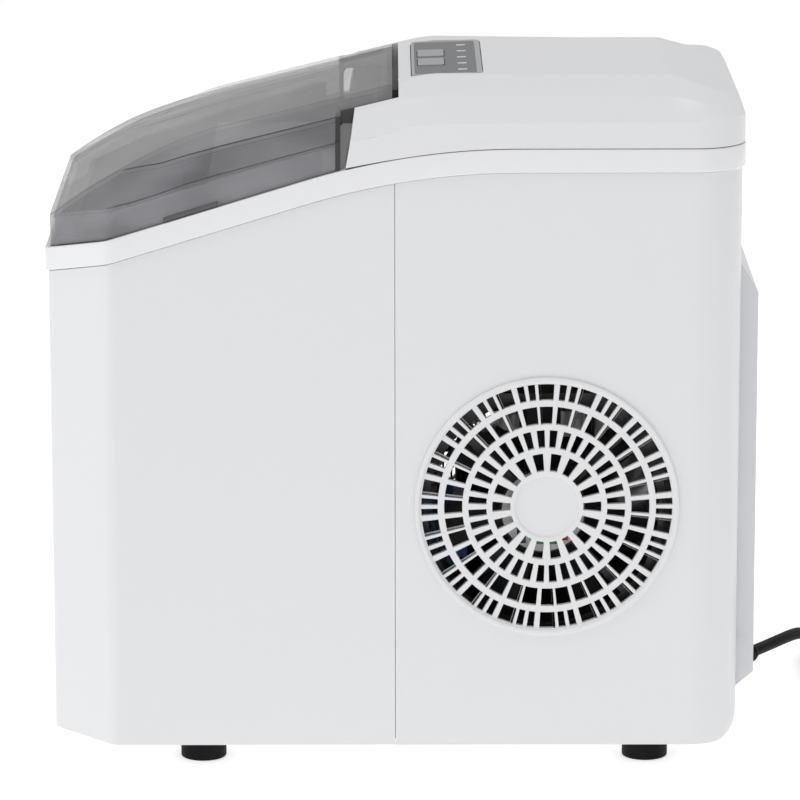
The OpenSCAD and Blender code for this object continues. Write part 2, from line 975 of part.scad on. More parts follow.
module compressor_bolts() {
    color("silver")
        at_bolts() {
            translate([0, 0, deck_z])
                cylinder(d = 6, h = 20);
            translate([0, 0, comp_z + 0.7])
                cylinder(d = 11, h = 4);
        }
}

cond_x0 = -113;
cond_x1 = -91;
cond_z0 = 82;
cond_z1 = 188;
row_zs = [92, 114, 136, 158, 180];
cond_y0 = 16;
cond_y1 = 126;
module condenser_core() {
    color("silver")
        difference() {
            union() {
                for (y = [cond_y0:4.4:cond_y1])
                    translate([cond_x0, y, cond_z0])
                        cube([cond_x1 - cond_x0, 1, cond_z1 - cond_z0]);
                for (z = [cond_z0 - 1, cond_z1])
                    translate([cond_x0, cond_y0, z])
                        cube([cond_x1 - cond_x0, cond_y1 - cond_y0, 1]);
            }
            for (z = row_zs)
                translate([(cond_x0 + cond_x1) / 2, cond_y0 - 5, z])
                    rotate([-90, 0, 0])
                        cylinder(d = 7.4, h = 130);
        }
}

module condenser_tubes() {
    x = (cond_x0 + cond_x1) / 2;
    ya = cond_y0 - 4;
    yb = cond_y1 + 6;
    zs = row_zs;
    color("chocolate")
        pipe([
            [x, ya, zs[0] - 8], [x, ya, zs[0]], [x, yb, zs[0]], [x, yb, zs[1]],
            [x, ya, zs[1]], [x, ya, zs[2]], [x, yb, zs[2]], [x, yb, zs[3]],
            [x, ya, zs[3]], [x, ya, zs[4]], [x, yb, zs[4]], [x, yb, zs[4] + 14]
        ], 6.4);
}

// Fan behind the right grille
fan_y = 68.3;
fan_z = 131.3;
fan_x = 88;
fan_blades = 7;
module at_fan(x) {
    translate([x, fan_y, fan_z])
        rotate([0, 90, 0])
            children();
}

module fan_shroud() {
    color([0.12, 0.12, 0.12])
        difference() {
            at_fan(fan_x)
                rounded_plate(120, 120, 6, 0, 25);
            at_fan(fan_x - 1)
                cylinder(r = 57.5, h = 30, $fn = 96);
            for (a = [-1, 1])
                for (b = [-1, 1])
                    translate([fan_x - 1, fan_y + a * 52.5, fan_z + b * 52.5])
                        rotate([0, 90, 0])
                            cylinder(d = 4.4, h = 30);
        }
}

module fan_motor() {
    color([0.14, 0.14, 0.14])
        difference() {
            union() {
                at_fan(fan_x + 21.5)
                    cylinder(r = 21.5, h = 3.4);
                for (a = [45:90:359])
                    translate([fan_x + 22, fan_y, fan_z])
                        rotate([a, 0, 0])
                            translate([0, -2, 20])
                                cube([2.6, 4, 37.3]);
            }
            at_fan(fan_x + 20)
                cylinder(d = 3.12, h = 3.6);
        }
}

module fan_label() {
    color("white")
        at_fan(fan_x + 24.95)
            cylinder(r = 20.6, h = 0.25);
}

module fan_rotor() {
    color([0.1, 0.1, 0.1]) {
        at_fan(fan_x + 2)
            cylinder(r = 20.5, h = 18.5);
        at_fan(fan_x + 20)
            cylinder(d = 3, h = 3.2);
        for (k = [0:fan_blades - 1])
            translate([fan_x + 11, fan_y, fan_z])
                rotate([k * 360 / fan_blades, 0, 0])
                    rotate([0, 0, 38])
                        translate([-1, -11, 18])
                            cube([2, 22, 36.5]);
    }
}

module filter_drier() {
    color("peru")
        translate([62, 146, 60])
            rotate_extrude()
                polygon([[0, 0], [2.5, 0], [2.5, 6], [9, 14], [9, 74], [2.5, 82], [2.5, 90], [0, 90]]);
}

module capillary_tube() {
    color("chocolate")
        for (k = [0:2])
            translate([62, 146, 160 + 2.4 * k])
                rotate_extrude()
                    translate([10, 0])
                        circle(d = 2, $fn = 16);
}

module hot_gas_valve() {
    color("steelblue")
        translate([70, 20, 0]) {
            translate([0, 0, 60])
                cylinder(d = 12, h = 40);
            translate([-13, -11, 100])
                cube([26, 22, 30]);
            translate([0, 0, 130])
                cylinder(d = 8, h = 6);
        }
}

module refrigerant_lines() {
    color("chocolate") {
        swept_tube(bent([
            [line_xs[0], line_end_y + 0.2, line_z], [line_xs[0], 44, line_z], [-60, 60, 240],
            [comp_x - 24, comp_y - 14, 215], [comp_x - 24, comp_y - 14, comp_z + comp_h + 16.3]
        ], 10), 4, [3, 1, 2]);
        swept_tube(bent([
            [comp_x + 22, comp_y + 18, comp_z + comp_h + 16.3], [comp_x + 22, comp_y + 18, 205],
            [0, 146, 215], [-85, 146, 215], [(cond_x0 + cond_x1) / 2, cond_y1 + 6, 215],
            [(cond_x0 + cond_x1) / 2, cond_y1 + 6, row_zs[4] + 14.3]
        ], 8), 3, [3, 1, 2]);
    }
}

board_y = -1;
module board_bracket() {
    color("silver")
        difference() {
            union() {
                translate([-60, -7, 190])
                    cube([130, 1.5, 92]);
                for (x = [-52, 62])
                    for (z = [198, 274])
                        translate([x, -7, z])
                            rotate([-90, 0, 0])
                                cylinder(d = 8, h = 6 - 0.05);
            }
            for (x = [-30, 40])
                translate([x, -8, 236])
                    rotate([-90, 0, 0])
                        cylinder(d = 12, h = 4);
        }
}

module main_board() {
    color("green") {
        translate([-58, board_y, 192])
            cube([126, 1.6, 88]);
        for (x = [-40, -18, 4])
            translate([x, board_y + 1, 262])
                cube([16, 14, 14]);
        for (x = [20, 34])
            translate([x, board_y + 1, 208])
                rotate([-90, 0, 0])
                    cylinder(d = 10, h = 18);
        translate([20, board_y + 1, 240])
            cube([40, 10, 12]);
    }
}

module transformer() {
    color("gold")
        translate([-50, board_y + 1.65, 204]) {
            cube([40, 26, 34]);
            translate([-4, 6, 6])
                cube([48, 14, 22]);
        }
}

module rear_screws() {
    color("silver")
        for (side = [-1, 1])
            for (z = screw_zs)
                translate([side * screw_x, rear_y - 2.3, z])
                    rotate([-90, 0, 0]) {
                        cylinder(d = 7, h = 2.2);
                        translate([0, 0, -8])
                            cylinder(d = 4, h = 8.1);
                    }
}

// The lead: out of the bump, down to the table, into a round coil, and up to the plug
cord_r = cord_d / 2;
coil_x = -75;
coil_y = 257;
coil_lift = 0.6;     // the tie lies under the coil
coil_turns = 3;      // turns beside each other, in each of two layers
coil_mid_r = 34;
cord_route = [
    [54, 178, 42], [45, 184.3, 42], [35, 191, 41.9], [25, 197, 41.5], [14, 202.5, 40.3],
    [3, 207, 37.8], [-8, 210.6, 33.4], [-19, 213.2, 28], [-30, 215, 22], [-41, 216, 16.2],
    [-52, 216.6, 11], [-60, 216.8, 7.5], [-67.5, 216.8, 5], [-75, 216.8, 3.7]
];
tail_route = [
    [-111, 240, 10], [-114.3, 249, 10.8], [-115.2, 259, 13], [-113, 269, 16.5],
    [-108, 278.5, 20], [-101, 286.5, 22.8], [-93, 291, 24]
];
plug_at = [-75, 291, 24.1];

module power_cord() {
    color([0.08, 0.08, 0.08]) {
        swept_tube(cord_route, cord_r, [0, 0, 1]);
        swept_tube(tail_route, cord_r, [0, 0, 1]);
    }
}

module cord_coil() {
    half = coil_turns * cord_r;
    color([0.08, 0.08, 0.08])
        translate([coil_x, coil_y, coil_lift])
            rotate_extrude($fn = 72)
                polygon([
                    [coil_mid_r - half, 2], [coil_mid_r - half + 2, 0], [coil_mid_r + half - 2, 0],
                    [coil_mid_r + half, 2], [coil_mid_r + half, 2 * cord_d - 2],
                    [coil_mid_r + half - 2, 2 * cord_d], [coil_mid_r - half + 2, 2 * cord_d],
                    [coil_mid_r - half, 2 * cord_d - 2]
                ]);
}

module cord_tie() {
    half = coil_turns * cord_r;
    color("dimgray")
        translate([coil_x + coil_mid_r, coil_y, coil_lift + cord_d])
            difference() {
                cube([2 * half + 1.8, 6, 2 * cord_d + 1.2], center = true);
                cube([2 * half + 0.6, 8, 2 * cord_d + 0.1], center = true);
            }
}

module cord_gland() {
    color([0.1, 0.1, 0.1])
        along_gland(0) {
            rotate_extrude()
                polygon([
                    [0, 0.2], [4, 0.2], [5.6, gland_len - 3], [6.2, gland_len - 3],
                    [6.2, gland_len], [0, gland_len]
                ]);
            translate([0, 0, gland_len - 0.05])
                cylinder(d = 12.4, h = 3);
        }
}

module power_plug() {
    color([0.1, 0.1, 0.1])
        translate(plug_at)
            rotate([0, 90, 0]) {
                translate([0, 0, -18])
                    cylinder(d1 = 9, d2 = 14, h = 20);
                rounded_plate(22, 25, 5, 1.8, 34);
            }
    color("silver")
        translate(plug_at)
            rotate([0, 90, 0]) {
                for (side = [-1, 1])
                    translate([-6.3 / 2, side * 6.35 - 0.75, 33.9])
                        cube([6.3, 1.5, 16]);
                translate([8, 0, 33.9])
                    cylinder(d = 4.7, h = 18);
            }
}

front_shell();
rear_shell();
base_pan();
feet();
foot_screws();
trim_band();
top_cover();
lid();
lid_hinge_pins();
control_panel();
power_button();
select_button();
indicator_lights();
display_board();
right_grille();
left_grille();
ice_chamber_liner();
insulation_foam();
bulkhead();
ice_basket();
evaporator_fingers();
evaporator_tube();
evaporator_bracket();
water_tray();
tray_shaft();
tray_motor();
ice_pusher();
ice_full_sensors();
water_pump();
pump_hose();
float_stem();
float_ring();
drain_plug();
compressor();
compressor_terminal_cover();
compressor_grommets();
compressor_bolts();
condenser_core();
condenser_tubes();
fan_shroud();
fan_motor();
fan_label();
fan_rotor();
filter_drier();
capillary_tube();
hot_gas_valve();
refrigerant_lines();
board_bracket();
main_board();
transformer();
rear_screws();
power_cord();
cord_coil();
cord_tie();
cord_gland();
power_plug();
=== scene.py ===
import bmesh
import bpy
import numpy as np
from mathutils import Matrix, Vector


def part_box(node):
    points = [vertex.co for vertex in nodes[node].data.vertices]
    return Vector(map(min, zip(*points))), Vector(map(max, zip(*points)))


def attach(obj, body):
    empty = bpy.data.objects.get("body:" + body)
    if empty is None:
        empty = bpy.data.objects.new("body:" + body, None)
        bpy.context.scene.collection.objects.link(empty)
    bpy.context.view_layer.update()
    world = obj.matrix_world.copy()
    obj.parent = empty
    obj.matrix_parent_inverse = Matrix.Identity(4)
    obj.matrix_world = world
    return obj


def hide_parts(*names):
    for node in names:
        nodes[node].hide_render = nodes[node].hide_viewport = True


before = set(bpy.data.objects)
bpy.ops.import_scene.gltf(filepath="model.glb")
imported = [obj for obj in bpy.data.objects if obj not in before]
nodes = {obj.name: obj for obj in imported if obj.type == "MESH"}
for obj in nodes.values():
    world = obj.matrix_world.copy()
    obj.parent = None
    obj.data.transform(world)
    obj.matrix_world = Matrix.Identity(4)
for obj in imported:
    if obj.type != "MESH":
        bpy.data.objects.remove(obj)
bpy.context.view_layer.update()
scene = bpy.context.scene
print("stage: frame loaded,", len(nodes), "nodes")


# A CAD node's lowest and highest corners in millimetres
def boxOf(node):
    return [np.array(corner) * 1000 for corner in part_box(node)]


# camera
cameraSettings = {
    "place": (2.5631, -0.0087, 0.7418),
    "lens": 228.0,
    "pitch": 12.734,
    "yaw": -0.135,
    "roll": -0.063,
    "sensor": 36,
    "reach": 50,
}


# The view direction is -X turned by the yaw about Z and dipped by the pitch; right and up are
# square to it and turned by the roll
def makeCamera(s):
    pitch, yaw, roll = (np.radians(s[k]) for k in ("pitch", "yaw", "roll"))
    level = np.array([-np.cos(yaw), -np.sin(yaw), 0])
    right = np.array([-np.sin(yaw), np.cos(yaw), 0])
    up = np.array([0, 0, 1.0])
    ahead = level * np.cos(pitch) - up * np.sin(pitch)
    over = up * np.cos(pitch) + level * np.sin(pitch)
    side = right * np.cos(roll) + over * np.sin(roll)
    top = over * np.cos(roll) - right * np.sin(roll)
    data = bpy.data.cameras.new("camera")
    data.lens = s["lens"]
    data.sensor_width = s["sensor"]
    data.clip_end = s["reach"]
    camera = bpy.data.objects.new("camera", data)
    matrix = Matrix(np.column_stack([side, top, -ahead]).tolist()).to_4x4()
    matrix.translation = Vector(s["place"])
    camera.matrix_world = matrix
    scene.collection.objects.link(camera)
    scene.camera = camera


makeCamera(cameraSettings)


# node wrapper
class Wire:
    # one value of a material: operators on it add Math nodes
    def __init__(self, finish, socket):
        self.finish = finish
        self.socket = socket

    def math(self, operation, *values):
        return self.finish.node("ShaderNodeMath", {"operation": operation}, dict(enumerate(values)))

    def __add__(self, other):
        return self.math("ADD", self, other)

    def __sub__(self, other):
        return self.math("SUBTRACT", self, other)

    def __rsub__(self, other):
        return self.math("SUBTRACT", other, self)

    def __mul__(self, other):
        return self.math("MULTIPLY", self, other)

    __radd__ = __add__

    def size(self):
        return self.math("ABSOLUTE", self)

    def wave(self):
        return self.math("SINE", self)

    def over(self, edge):
        return self.math("GREATER_THAN", self, edge)

    def under(self, edge):
        return self.math("LESS_THAN", self, edge)

    # 0 below low and 1 above high, with a soft step between
    def step(self, low, high):
        return self.finish.node("ShaderNodeMapRange", {"interpolation_type": "SMOOTHSTEP"},
                                {0: self, 1: low, 2: high, 3: 0.0, 4: 1.0})


class Finish:
    def __init__(self, name):
        self.material = bpy.data.materials.new(name)
        self.material.use_nodes = True
        self.tree = self.material.node_tree
        self.tree.nodes.clear()
        out = self.tree.nodes.new("ShaderNodeOutputMaterial")
        self.shader = self.tree.nodes.new("ShaderNodeBsdfPrincipled")
        self.tree.links.new(self.shader.outputs[0], out.inputs[0])
        self.place = self.node("ShaderNodeTexCoord", output="Object")

    def node(self, kind, settings=None, inputs=None, output=0):
        made = self.tree.nodes.new(kind)
        for key, value in (settings or {}).items():
            setattr(made, key, value)
        for key, value in (inputs or {}).items():
            self.put(made.inputs[key], value)
        return Wire(self, made.outputs[output])

    def put(self, socket, value):
        if isinstance(value, Wire):
            self.tree.links.new(value.socket, socket)
        else:
            socket.default_value = value

    def set(self, values):
        for key, value in values.items():
            self.put(self.shader.inputs[key], value)
        return self.material

    def axis(self, name):
        return self.node("ShaderNodeSeparateXYZ", {}, {0: self.place}, name)

    def noise(self, scale, detail=2.0, stretch=None):
        where = self.place
        if stretch:
            where = self.node("ShaderNodeMapping", {}, {"Vector": where, "Scale": stretch})
        return self.node("ShaderNodeTexNoise", {}, {"Vector": where, "Scale": scale, "Detail": detail})

    # distance to the middle of the nearest cell
    def cells(self, scale):
        return self.node("ShaderNodeTexVoronoi", {}, {"Vector": self.place, "Scale": scale}, "Distance")

    def attribute(self, name):
        return self.node("ShaderNodeAttribute", {"attribute_name": name}, {}, "Fac")

    def mix(self, share, a, b):
        return self.node("ShaderNodeMix", {"data_type": "RGBA"}, {0: share, 6: a, 7: b}, 2)

    def bump(self, height, distance, strength):
        return self.node("ShaderNodeBump", {}, {"Strength": strength, "Distance": distance, "Height": height})


# A colour made brighter or darker
def tone(colour, k):
    return tuple(min(1.0, c * k) for c in colour[:3]) + (1.0,)


# Moulded plastic: slow drift of colour and gloss, a fine grain in the surface, and fine scuffs
def plastic(name, colour, rough, grain, drift, grainScale=1400.0, coat=0.0):
    f = Finish(name)
    broad = f.noise(7.0, 3.0)
    fine = f.noise(grainScale, 2.0)
    scuff = f.noise(60.0, 4.0, (1.0, 1.0, 6.0)).step(0.62, 0.8)
    return f.set({
        "Base Color": f.mix(broad, tone(colour, 1 - drift), tone(colour, 1 + drift)),
        "Roughness": (broad - 0.5) * 0.08 + (fine - 0.5) * 0.06 + scuff * 0.05 + rough,
        "Coat Weight": coat,
        "Coat Roughness": 0.12,
        "Normal": f.bump(fine, grain, 0.6),
    })


# Bare metal: fine lines along one axis, and dull patches
def metal(name, colour, rough, lines=(1.0, 1.0, 30.0), drift=0.12, tarnish=None):
    f = Finish(name)
    fine = f.noise(500.0, 3.0, lines)
    broad = f.noise(25.0, 4.0)
    dull = broad.step(0.5, 0.72)
    base = f.mix(fine, tone(colour, 1 - drift), tone(colour, 1 + drift))
    return f.set({
        "Base Color": f.mix(dull * 0.6, base, tarnish or tone(colour, 0.7)),
        "Metallic": 1.0,
        "Roughness": fine * 0.12 + dull * 0.15 + rough,
        "Normal": f.bump(fine, 0.00002, 0.5),
    })


# Rubber: dull, with a pebbled skin and pale rubbed spots
def rubber(name, colour, rough, pebble=900.0, height=0.00004):
    f = Finish(name)
    skin = f.cells(pebble)
    broad = f.noise(35.0, 4.0)
    return f.set({
        "Base Color": f.mix(broad.step(0.45, 0.8) * 0.6, tone(colour, 1.0), tone(colour, 1.8)),
        "Specular IOR Level": 0.12,
        "Roughness": broad * 0.18 + rough - 0.09,
        "Normal": f.bump(skin, height, 0.5),
    })


# Circuit board: green mask over straight tracks, with tinned pads
def circuit(name):
    f = Finish(name)
    x, z = f.axis("X"), f.axis("Z")
    lines = (x * 900.0 + z * 140.0).wave().step(0.55, 0.75)
    pads = f.cells(260.0).under(0.16)
    wide = f.noise(60.0, 3.0)
    mask = f.mix(wide, (0.012, 0.09, 0.035, 1), (0.02, 0.15, 0.06, 1))
    tracks = f.mix(lines * 0.55, mask, (0.05, 0.27, 0.12, 1))
    return f.set({
        "Base Color": f.mix(pads, tracks, (0.72, 0.70, 0.64, 1)),
        "Metallic": pads * 0.9,
        "Roughness": 0.42 - pads * 0.12 + wide * 0.08,
        "Normal": f.bump(lines + pads, 0.00005, 0.5),
    })


# Expanded foam: small closed cells of uneven colour
def foam(name):
    f = Finish(name)
    cell = f.cells(420.0)
    broad = f.noise(30.0, 3.0)
    return f.set({
        "Base Color": f.mix(cell, (0.74, 0.66, 0.42, 1), (0.86, 0.79, 0.58, 1)),
        "Roughness": 0.85 + broad * 0.1,
        "Normal": f.bump(cell, 0.0004, 0.9),
    })


# Wound wire under yellow tape: fine turns across the height, between two bare core plates
def winding(name):
    f = Finish(name)
    z, x = f.axis("Z"), f.axis("X")
    turns = (z * 5200.0).wave()
    core = (x + 0.030).size().over(0.0245)
    return f.set({
        "Base Color": f.mix(core, (0.80, 0.55, 0.10, 1), (0.17, 0.17, 0.18, 1)),
        "Metallic": core * 0.6,
        "Roughness": 0.45 + turns * 0.05,
        "Normal": f.bump(turns, 0.00008, 0.6),
    })


# Round sticker: white film with plain coloured blocks and thin rules, no lettering
def sticker(name, centre):
    f = Finish(name)
    y, z = f.axis("Y") - centre[0], f.axis("Z") - centre[1]

    def block(y0, y1, z0, z1):
        return y.over(y0) * y.under(y1) * z.over(z0) * z.under(z1)
    green = block(-0.0065, 0.0075, -0.0170, -0.0120)
    red = block(0.0085, 0.0125, -0.0150, -0.0120) + block(-0.0185, -0.0155, 0.0040, 0.0080)
    rule = block(-0.0130, -0.0085, -0.0165, -0.0050) + block(0.0140, 0.0175, -0.0080, 0.0030)
    film = f.noise(90.0, 3.0)
    colour = f.mix(film, (0.80, 0.80, 0.79, 1), (0.88, 0.88, 0.87, 1))
    for where, ink in ((green, (0.02, 0.30, 0.09)), (red, (0.45, 0.03, 0.02)), (rule, (0.03, 0.03, 0.03))):
        colour = f.mix(where, colour, (*ink, 1))
    return f.set({
        "Base Color": colour,
        "Roughness": film * 0.1 + 0.3,
        "Normal": f.bump(film, 0.00003, 0.3),
    })


# Smoked clear plastic: mostly see-through, with very fine scratches in its gloss. Its "edge" attribute
# paints shade on creases and ends: a near black, less see-through colour where the real one looks dark
# because it is thick edge on.
def smoked(name):
    f = Finish(name)
    fine = f.noise(240.0, 4.0, (1.0, 5.0, 1.0))
    haze = f.noise(14.0, 2.0, (1.0, 1.0, 1.6)).step(0.35, 0.68)
    edge = f.attribute("edge")
    f.set({
        "Base Color": f.mix(edge, f.mix(haze, (0.150, 0.147, 0.165, 1), (0.330, 0.326, 0.352, 1)),
                            (0.018, 0.018, 0.020, 1)),
        "Roughness": fine * 0.05 + haze * 0.03 + 0.07,
        "Alpha": haze * 0.04 + 0.49 + edge * 0.45,
        "Coat Weight": 0.9 - edge * 0.9,
        "Coat Roughness": 0.06,
        "Specular IOR Level": 0.6,
        "Normal": f.bump(fine, 0.000006, 0.35),
    })
    f.material.surface_render_method = "BLENDED"
    return f.material


# Floor of a white studio: even, barely mottled
def floorFinish(name):
    f = Finish(name)
    cloud = f.noise(1.5, 2.0)
    return f.set({
        "Base Color": f.mix(cloud, (0.90, 0.90, 0.90, 1), (0.92, 0.92, 0.92, 1)),
        "Roughness": cloud * 0.1 + 0.6,
        "Specular IOR Level": 0.2,
        "Emission Color": (1, 1, 1, 1),
        "Emission Strength": 0.50,
    })


white = (0.80, 0.805, 0.82)
fanMid = [c / 2000 for c in (boxOf("fan_label")[0] + boxOf("fan_label")[1])[1:]]
finishes = {
    "casing": plastic("casing white", white, 0.34, 0.000006, 0.008, 2200.0),
    # the bump's finish is a greyer white than the casing's: painted shade, because its side wall looks darker
    # than the casing's side
    "bump": plastic("rear cover painted shade", (0.70, 0.71, 0.735), 0.38, 0.000006, 0.01, 2200.0),
    "band": plastic("band white", (0.845, 0.85, 0.86), 0.30, 0.000005, 0.006, 2200.0),
    "inner": plastic("inner white", (0.78, 0.78, 0.78), 0.42, 0.00002, 0.02),
    "smoke": smoked("smoked clear"),
    "lip": plastic("smoked lip", (0.10, 0.098, 0.11), 0.18, 0.000006, 0.05),
    "liner": plastic("liner grey", (0.58, 0.58, 0.61), 0.40, 0.00002, 0.03),
    "panelFrame": plastic("panel frame", (0.40, 0.405, 0.42), 0.30, 0.00001, 0.02),
    "fascia": plastic("panel foil", (0.15, 0.154, 0.162), 0.36, 0.00003, 0.03, 2600.0),
    "key": plastic("key foil", (0.36, 0.365, 0.38), 0.38, 0.00002, 0.03, 2600.0),
    "light": plastic("light guide", (0.74, 0.77, 0.78), 0.25, 0.00001, 0.02),
    "black": plastic("black plastic", (0.022, 0.022, 0.024), 0.40, 0.00003, 0.15, 900.0),
    "enamel": plastic("black enamel", (0.018, 0.018, 0.02), 0.22, 0.00008, 0.2, 350.0, 0.4),
    "blue": plastic("blue cover", (0.05, 0.14, 0.36), 0.35, 0.00003, 0.05),
    "hose": plastic("milky hose", (0.62, 0.64, 0.64), 0.35, 0.00002, 0.04),
    "steel": metal("plated steel", (0.56, 0.57, 0.59), 0.28),
    "copper": metal("copper", (0.72, 0.36, 0.22), 0.26, (30.0, 1.0, 1.0), 0.10, (0.25, 0.11, 0.06, 1)),
    "nickel": metal("nickel", (0.66, 0.65, 0.62), 0.16, (1.0, 1.0, 20.0), 0.05),
    "fins": metal("fins", (0.75, 0.76, 0.78), 0.30, (20.0, 1.0, 1.0), 0.08),
    "foot": rubber("foot rubber", (0.007, 0.007, 0.0075), 0.6),
    "sheath": rubber("cord sheath", (0.006, 0.006, 0.0065), 0.5, 1500.0, 0.00001),
    "board": circuit("circuit board"),
    "foam": foam("insulation foam"),
    "coil": winding("transformer winding"),
    "label": sticker("fan sticker", fanMid),
}
finishNodes = {
    "casing": "front_shell rear_shell top_cover",
    "band": "trim_band right_grille left_grille",
    "inner": "base_pan ice_basket evaporator_bracket water_tray ice_pusher float_stem float_ring",
    "smoke": "lid",
    "liner": "ice_chamber_liner",
    "fascia": "control_panel",
    "key": "power_button select_button",
    "light": "indicator_lights",
    "black": "ice_full_sensors water_pump compressor_terminal_cover fan_shroud fan_motor fan_rotor",
    "enamel": "compressor",
    "blue": "hot_gas_valve",
    "hose": "pump_hose",
    "steel": "foot_screws lid_hinge_pins bulkhead tray_shaft tray_motor compressor_bolts board_bracket "
             "rear_screws",
    "copper": "condenser_tubes filter_drier capillary_tube refrigerant_lines",
    "nickel": "evaporator_fingers evaporator_tube",
    "fins": "condenser_core",
    "foot": "drain_plug compressor_grommets feet",
    "sheath": "power_cord cord_coil cord_tie cord_gland power_plug",
    "board": "display_board main_board",
    "foam": "insulation_foam",
    "coil": "transformer",
    "label": "fan_label",
}
nodeFinish = {name: finish for finish, names in finishNodes.items() for name in names.split()}
for name, obj in nodes.items():
    if not obj.material_slots:
        obj.data.materials.append(None)
    for materialSlot in obj.material_slots:
        materialSlot.material = finishes[nodeFinish[name]]
print("stage: finishes")


# mesh helpers: everything is worked out in millimetres
near = 0.001
sides = (np.array([1, 1, 1]), np.array([-1, 1, 1]))


# Points from their coordinates, each a number or an array
def sheet(*values):
    return np.stack(np.broadcast_arrays(*values), -1)


# Rows of points from the middle outwards, carried on to the mirrored side
def bothSides(points):
    return np.concatenate([points[..., :0:-1, :] * sides[1], points], -2)


# Quads of a grid of points, rows by columns, closed round either way and thinned out if asked
def gridPart(points, closeRows=False, closeCols=False, keep=None):
    points = np.asarray(points, float)
    rows, cols = points.shape[:2]
    index = np.arange(rows * cols).reshape(rows, cols)
    if closeRows:
        index = np.vstack([index, index[:1]])
    if closeCols:
        index = np.hstack([index, index[:, :1]])
    faces = np.stack([index[:-1, :-1], index[:-1, 1:], index[1:, 1:], index[1:, :-1]], -1)
    if keep is not None:
        faces = faces[keep]
    return points.reshape(-1, 3), faces.reshape(-1, 4)


# A line of points carried straight down to the foot's height, with rows at these shares of the way
def wallDown(line, foot, shares):
    x, y, z = line.T
    return gridPart(sheet(x, y, z + (foot - z) * np.array(shares)[:, None]))


# The mesh is merged where parts meet, its normals are made to point outwards, then its wall and
# soft edges are added
def makePiece(name, parts, finish, replaced=(), body="housing", wall=0.0, edge=0.0, sharp=40.0,
              segments=2, inward=False, merge=0.004, marks=None):
    count = np.cumsum([0] + [len(p[0]) for p in parts])
    verts = np.vstack([p[0] for p in parts]) / 1000
    faces = np.vstack([p[1] + n for p, n in zip(parts, count)])
    mesh = bpy.data.meshes.new(name)
    mesh.from_pydata(verts.tolist(), [], faces.tolist())
    bm = bmesh.new()
    bm.from_mesh(mesh)
    bmesh.ops.remove_doubles(bm, verts=bm.verts, dist=merge / 1000)
    bmesh.ops.dissolve_degenerate(bm, edges=bm.edges, dist=merge / 4000)
    bmesh.ops.recalc_face_normals(bm, faces=bm.faces)
    middle = sum((v.co for v in bm.verts), Vector()) / len(bm.verts)
    facing = sum(f.normal.dot(f.calc_center_median() - middle) * f.calc_area() for f in bm.faces)
    if (facing < 0) != inward:
        bmesh.ops.reverse_faces(bm, faces=bm.faces)
    bm.to_mesh(mesh)
    bm.free()
    if marks:
        at = np.array([v.co for v in mesh.vertices]) * 1000
        mesh.attributes.new("edge", "FLOAT", "POINT").data.foreach_set("value", marks(at).astype(np.float32))
    mesh.shade_smooth()
    mesh.set_sharp_from_angle(angle=np.radians(sharp))
    mesh.materials.append(finishes[finish])
    obj = bpy.data.objects.new(name, mesh)
    scene.collection.objects.link(obj)
    if wall:
        shell = obj.modifiers.new("wall", "SOLIDIFY")
        shell.thickness = wall / 1000
        shell.offset = -1
        shell.use_even_offset = True
    if edge:
        soft = obj.modifiers.new("edge", "BEVEL")
        soft.width = edge / 1000
        soft.segments = segments
        soft.limit_method = "ANGLE"
        soft.angle_limit = np.radians(sharp)
        soft.use_clamp_overlap = True
        soft.harden_normals = True
    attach(obj, body)
    if replaced:
        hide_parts(*replaced)
    return obj


# Points on a circle from one angle to another, in degrees
def arc(centre, radius, start, end, steps):
    a = np.radians(np.linspace(start, end, steps + 1))
    return sheet(centre[0] + radius * np.cos(a), centre[1] + radius * np.sin(a))


# A profile of [radius, height] pairs turned about the line through base along the axis given
def lathe(profile, base, axis, steps=64):
    profile = np.asarray(profile, float)
    w = np.asarray(axis, float) / np.linalg.norm(axis)
    u = np.cross(w, [0, 0, 1.0] if abs(w[2]) < 0.9 else [1.0, 0, 0])
    u /= np.linalg.norm(u)
    v = np.cross(w, u)
    a = np.linspace(0, 2 * np.pi, steps, endpoint=False)
    ring = np.cos(a)[:, None] * u + np.sin(a)[:, None] * v
    return gridPart(np.asarray(base, float) + profile[:, None, :1] * ring + profile[:, None, 1:] * w,
                    closeCols=True)


# A profile with its corners rounded: each becomes a parabola that starts where an arc of this radius
# would
def softProfile(points, radius, steps=3):
    points = np.asarray(points, float)
    out = [points[:1]]
    for a, p, b in zip(points[:-2], points[1:-1], points[2:]):
        u, v = (a - p) / np.linalg.norm(a - p), (b - p) / np.linalg.norm(b - p)
        half = np.arccos(np.clip(u @ v, -1, 1)) / 2
        cut = min(radius / np.tan(half), 0.45 * np.linalg.norm(a - p), 0.45 * np.linalg.norm(b - p))
        t = np.linspace(0, 1, steps + 1)[:, None]
        s, e = p + u * cut, p + v * cut
        out.append((1 - t) ** 2 * s + 2 * t * (1 - t) * p + t ** 2 * e)
    out.append(points[-1:])
    return np.vstack(out)


# cord: its route repeats the CAD's, in millimetres here and metres in the curve
cord = {
    "diameter": 6.2,
    "route": [[54, 178, 42], [45, 184.3, 42], [35, 191, 41.9], [25, 197, 41.5], [14, 202.5, 40.3],
              [3, 207, 37.8], [-8, 210.6, 33.4], [-19, 213.2, 28], [-30, 215, 22], [-41, 216, 16.2],
              [-52, 216.6, 11], [-60, 216.8, 7.5], [-67.5, 216.8, 5]],
    "tail": [[-111, 240, 10], [-114.3, 249, 10.8], [-115.2, 259, 13], [-113, 269, 16.5],
             [-108, 278.5, 20], [-101, 286.5, 22.8], [-93, 291, 24]],
    "coilCentre": (-75, 257),
    "lift": 0.6,
    "radii": [40.2, 34.0, 27.8],
    "turns": 5.18,
}


